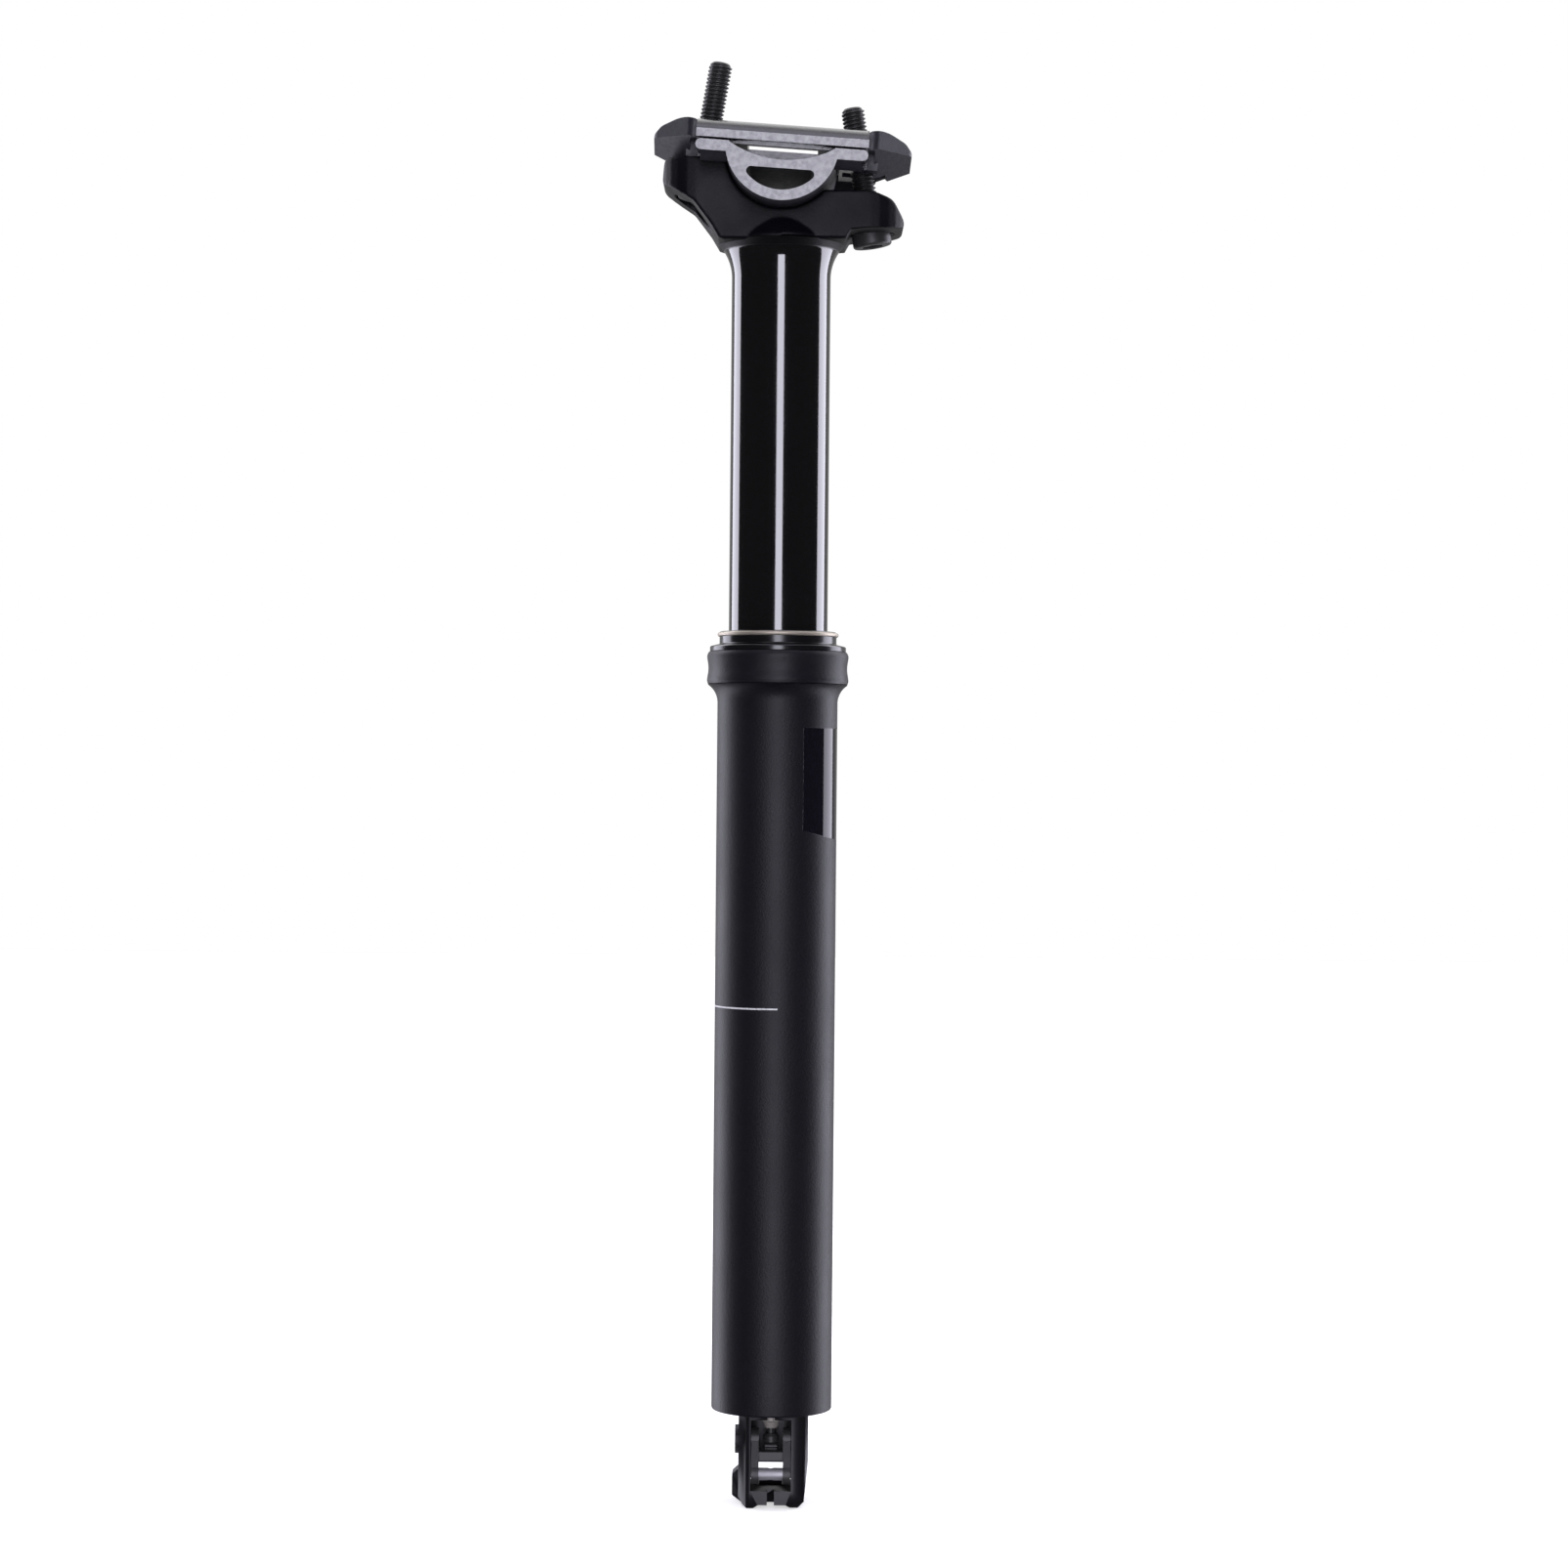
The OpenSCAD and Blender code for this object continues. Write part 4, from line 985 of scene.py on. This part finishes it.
@dataclass
class Actuator:
    """The release at the foot: housing, lever, pins, barrel and shaft nut.

    Args:
        low: Height of the housing's feet in its CAD node, in millimetres, as every length here.
        raised: Height of its feet as photographed.
        fixed: Height from which the housing stays as it is.
        slot_half: Half the width of the slot.
        wall_depth: Front and back of the wall behind the slot, along Y.
        wall_height: Lower and upper height of that wall.
        wall_bevel: Bevel of the wall's lower front edge.
        wall_foot: Height at which the wall's two flanks beside its window end.
        window_half: Half the width of the window.
        finishes: Finish of each node that keeps its own mesh.
    """

    low: float = -25.7
    raised: float = -24.2
    fixed: float = -18.5
    slot_half: float = 5.2
    wall_depth: Point = (6.4, 8.2)
    wall_height: Point = (-12.6, -1.7)
    wall_bevel: float = 0.3
    wall_foot: float = -19.2
    window_half: float = 3.2
    finishes: dict[str, Finish] = field(default_factory=lambda: {
        "release_lever": BOLT_BLACK, "lever_pin": BOLT_BLACK, "valve_pin": BOLT_BLACK,
        "cable_barrel": BARREL_ALLOY, "cable_screw": BOLT_BLACK, "shaft_nut": NUT_ALLOY,
    })

    def housing(self) -> None:
        """Builds the housing from a merged copy of its CAD shape, whose feet are drawn up to their
        photographed height: z becomes fixed + (z - fixed) (fixed - raised) / (fixed - low) below fixed.
        """
        shape = merged("actuator_housing")
        share = (self.fixed - self.raised) / (self.fixed - self.low)
        for point in shape.verts:
            under = min(0.0, point.co.z - self.fixed * MM)
            point.co.z += under * (share - 1.0)
        mesh = bpy.data.meshes.new("moulded_housing")
        shape.to_mesh(mesh)
        shape.free()
        piece = stand(mesh, "moulded_housing", MOULDED_BLACK.build(), 32.0)
        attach(piece, "post")
        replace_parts(piece, "actuator_housing")
        log.info("moulded_housing: %d faces on post", len(mesh.polygons))

    def wall(self) -> None:
        """Builds the wall that closes the slot behind the lever, down to the small window in it."""
        half, (front, back), (low, high) = self.slot_half, self.wall_depth, self.wall_height
        left = np.array([
            (-half, front, low + self.wall_bevel), (-half, front + self.wall_bevel, low),
            (-half, back, low), (-half, back, high), (-half, front, high),
        ])
        wall = Surface().grid(self.capped(left, left * np.array([-1.0, 1.0, 1.0])))
        for side in (-1.0, 1.0):
            flank = np.array([
                (side * half, front, self.wall_foot), (side * half, back, self.wall_foot),
                (side * half, back, low), (side * half, front, low),
            ])
            wall.grid(self.capped(flank, flank * np.array([self.window_half / half, 1.0, 1.0])))
        wall.build("slot_wall", "post", MOULDED_BLACK.build(), "black_alloy", 20.0)

    def capped(self, first: np.ndarray, last: np.ndarray) -> np.ndarray:
        """Gives the rows of a closed bar between two rings of points, with a middle point over each end.

        Args:
            first: Ring at one end, as points and 3.
            last: Ring at the other end.

        Returns:
            Grid of four rows.
        """
        caps = [np.tile(ring.mean(axis=0), (len(ring), 1)) for ring in (first, last)]
        return np.stack([caps[0], first, last, caps[1]])

    def build(self) -> None:
        """Builds the housing and the wall behind its slot, and dresses the other nodes."""
        self.housing()
        self.wall()
        for node, finish in self.finishes.items():
            dress(node, finish)


@dataclass
class Inside:
    """The pieces inside the tubes.

    Args:
        finishes: Finish of each node.
    """

    finishes: dict[str, Finish] = field(default_factory=lambda: {
        "upper_bushing": BUSHING_WHITE, "lower_bushing": BUSHING_WHITE, "guide_keys": KEY_BRASS,
        "base_plug": BARE_ALLOY, "bottom_bumper": SOFT_RUBBER, "cartridge_rod": PLATED_STEEL,
        "main_piston": BARE_ALLOY, "piston_seal": SOFT_RUBBER, "cartridge_tube": BARE_ALLOY,
        "cartridge_gland": MOULDED_BLACK, "gland_seal": SOFT_RUBBER, "cartridge_cap": MOULDED_BLACK,
        "retaining_ring": PLATED_STEEL, "gas_piston": BARE_ALLOY, "gas_piston_ring": SOFT_RUBBER,
    })

    def build(self) -> None:
        """Dresses each node."""
        for node, finish in self.finishes.items():
            dress(node, finish)


@dataclass
class Studio:
    """The floor, the lamps, the background and the camera.

    Args:
        distance: Distance of the camera from the post's axis, in metres, as every length here.
        eye: Height of the camera.
        shift: Place of the camera along X.
        roll: Turn of the camera about its view, in degrees.
        focal: Focal length in millimetres, on a sensor 36 mm wide.
        tint: Colour of the lamps.
        ambient: Strength of the world for diffuse light.
        floor: Height of the floor.
        floor_reach: Distance of the floor's edges from the axis.
        floor_pale: Colour of the floor, the same in red, green and blue.
        floor_glow: Light that the camera sees the floor give off near the post, where 1 is white.
        floor_fade: Distances from the axis between which that light rises to white.
    """

    distance: float = 0.955
    eye: float = 0.1606
    shift: float = 0.00186
    roll: float = 0.512
    focal: float = 85.2
    tint: Color = (0.95, 0.94, 1.08)
    ambient: float = 0.15
    floor: float = -0.0243
    floor_reach: float = 3.0
    floor_pale: float = 0.86
    floor_glow: float = 0.55
    floor_fade: Point = (0.05, 0.3)

    def camera(self) -> None:
        """Puts the camera where the photograph was taken from, in front of the post at half its height."""
        data = bpy.data.cameras.new("camera")
        data.lens = self.focal
        data.sensor_width = 36.0
        data.sensor_fit = "HORIZONTAL"
        eye = bpy.data.objects.new("camera", data)
        place = Matrix.Translation((self.shift, -self.distance, self.eye))
        upright = Matrix.Rotation(math.radians(90), 4, "X")
        eye.matrix_world = place @ upright @ Matrix.Rotation(math.radians(self.roll), 4, "Z")
        bpy.context.collection.objects.link(eye)
        bpy.context.scene.camera = eye

    def panel(self, name: str, place: Sequence[float], size: Point, radiance: float) -> None:
        """Adds a soft rectangular lamp that faces the middle of the post.

        Args:
            name: Name of the lamp.
            place: Its centre.
            size: Its width and height.
            radiance: Its brightness, where 1 shows as white; its power is radiance times pi times its area.
        """
        data = bpy.data.lights.new(name, "AREA")
        data.shape = "RECTANGLE"
        data.size, data.size_y = size
        data.energy = radiance * math.pi * size[0] * size[1]
        data.color = self.tint
        lamp = bpy.data.objects.new(name, data)
        aim = Vector((0.0, 0.0, self.eye)) - Vector(place)
        lamp.matrix_world = Matrix.Translation(place) @ aim.to_track_quat("-Z", "Y").to_matrix().to_4x4()
        bpy.context.collection.objects.link(lamp)

    def ring(self, azimuth: float, away: float) -> tuple[float, float, float]:
        """Gives a place at an azimuth from the camera's side, in degrees, and a distance from the post."""
        angle = math.radians(azimuth)
        return (away * math.sin(angle), -away * math.cos(angle), self.eye)

    def background(self) -> None:
        """Makes the world white for the camera and dim for diffuse light. A mirrored ray sees it dark before
        the post, paler behind it, and bright high up behind it.
        """
        world = bpy.data.worlds.new("studio")
        bpy.context.scene.world = world
        world.use_nodes = True
        graph = Graph(world.node_tree, "Generated")
        path = graph.node("ShaderNodeLightPath").outputs
        _, y, z = graph.axes()
        behind = graph.remap(y, 0.04, 0.42, 0.25, 0.95)
        ceiling = graph.remap(z, 0.0, 1.8, 0.25, 0.7)
        far = graph.remap(y, 0.0, 1.0, 0.05, 0.5)
        around = graph.math("ADD", behind, graph.math("MULTIPLY", ceiling, far))
        lit = graph.mix(Blend.NUMBER, path["Is Glossy Ray"], self.ambient, around)
        straight = graph.math("MAXIMUM", path["Is Camera Ray"], path["Is Transmission Ray"])
        glow = graph.node("ShaderNodeBackground")
        glow.inputs["Color"].default_value = WHITE
        graph.link(graph.mix(Blend.NUMBER, straight, lit, 1.0), glow, "Strength")
        graph.link(glow.outputs[0], graph.node("ShaderNodeOutputWorld"), 0)

    def ground(self) -> None:
        """Lays a floor that the camera sees white. Near the post it gives off less light of its own, so that
        the lamps' light and the post's shadow show there.
        """
        reach = np.array([-self.floor_reach, self.floor_reach])
        points = np.stack(np.meshgrid(reach, reach, [self.floor], indexing="ij"), axis=-1).reshape(-1, 3)
        mesh = bpy.data.meshes.new("floor")
        mesh.from_pydata(points.tolist(), [], [(0, 2, 3, 1)])
        paint = Painter("floor_pale")
        shader = paint.shader((self.floor_pale,) * 3, 0.7, 0.0, 0.2)
        shader.inputs["Emission Color"].default_value = WHITE
        path = paint.node("ShaderNodeLightPath").outputs
        x, y, _ = paint.axes()
        squares = paint.math("ADD", paint.math("MULTIPLY", x, x), paint.math("MULTIPLY", y, y))
        glow = paint.remap(paint.math("SQRT", squares), self.floor_glow, 1.0, *self.floor_fade)
        paint.link(paint.math("MULTIPLY", path["Is Camera Ray"], glow), shader, "Emission Strength")
        mesh.materials.append(paint.output(shader))
        floor = bpy.data.objects.new("floor", mesh)
        bpy.context.collection.objects.link(floor)
        floor.visible_glossy = False
        floor.visible_shadow = False

    def build(self) -> None:
        """Builds the camera, the background, the floor and the lamps."""
        self.camera()
        self.background()
        self.ground()
        bpy.context.scene.view_settings.view_transform = "Standard"
        self.panel("front_strip", self.ring(0, 1.35), (0.36, 1.5), 7.5)
        self.panel("left_panel", self.ring(-123, 0.8), (0.44, 1.4), 4.3)
        self.panel("right_panel", self.ring(117, 0.8), (0.46, 1.4), 5.0)
        self.panel("top_panel", (0.0, -0.25, 1.15), (0.8, 0.8), 2.2)


class Assembly(Protocol):
    """A sub-assembly that main builds."""

    def build(self) -> None:
        """Builds its meshes and dresses them."""


def main() -> None:
    """Builds the studio and then each sub-assembly."""
    logging.basicConfig(level=logging.INFO, format="%(name)s %(message)s")
    parts: tuple[Assembly, ...] = (
        Studio(), OuterTube(), Collar(), Wiper(), Slider(), SaddleClamp(), ClampBolts(), Actuator(), Inside(),
    )
    for part in parts:
        part.build()
        log.info("%s is built", type(part).__name__)


if __name__ == "__main__":
    main()
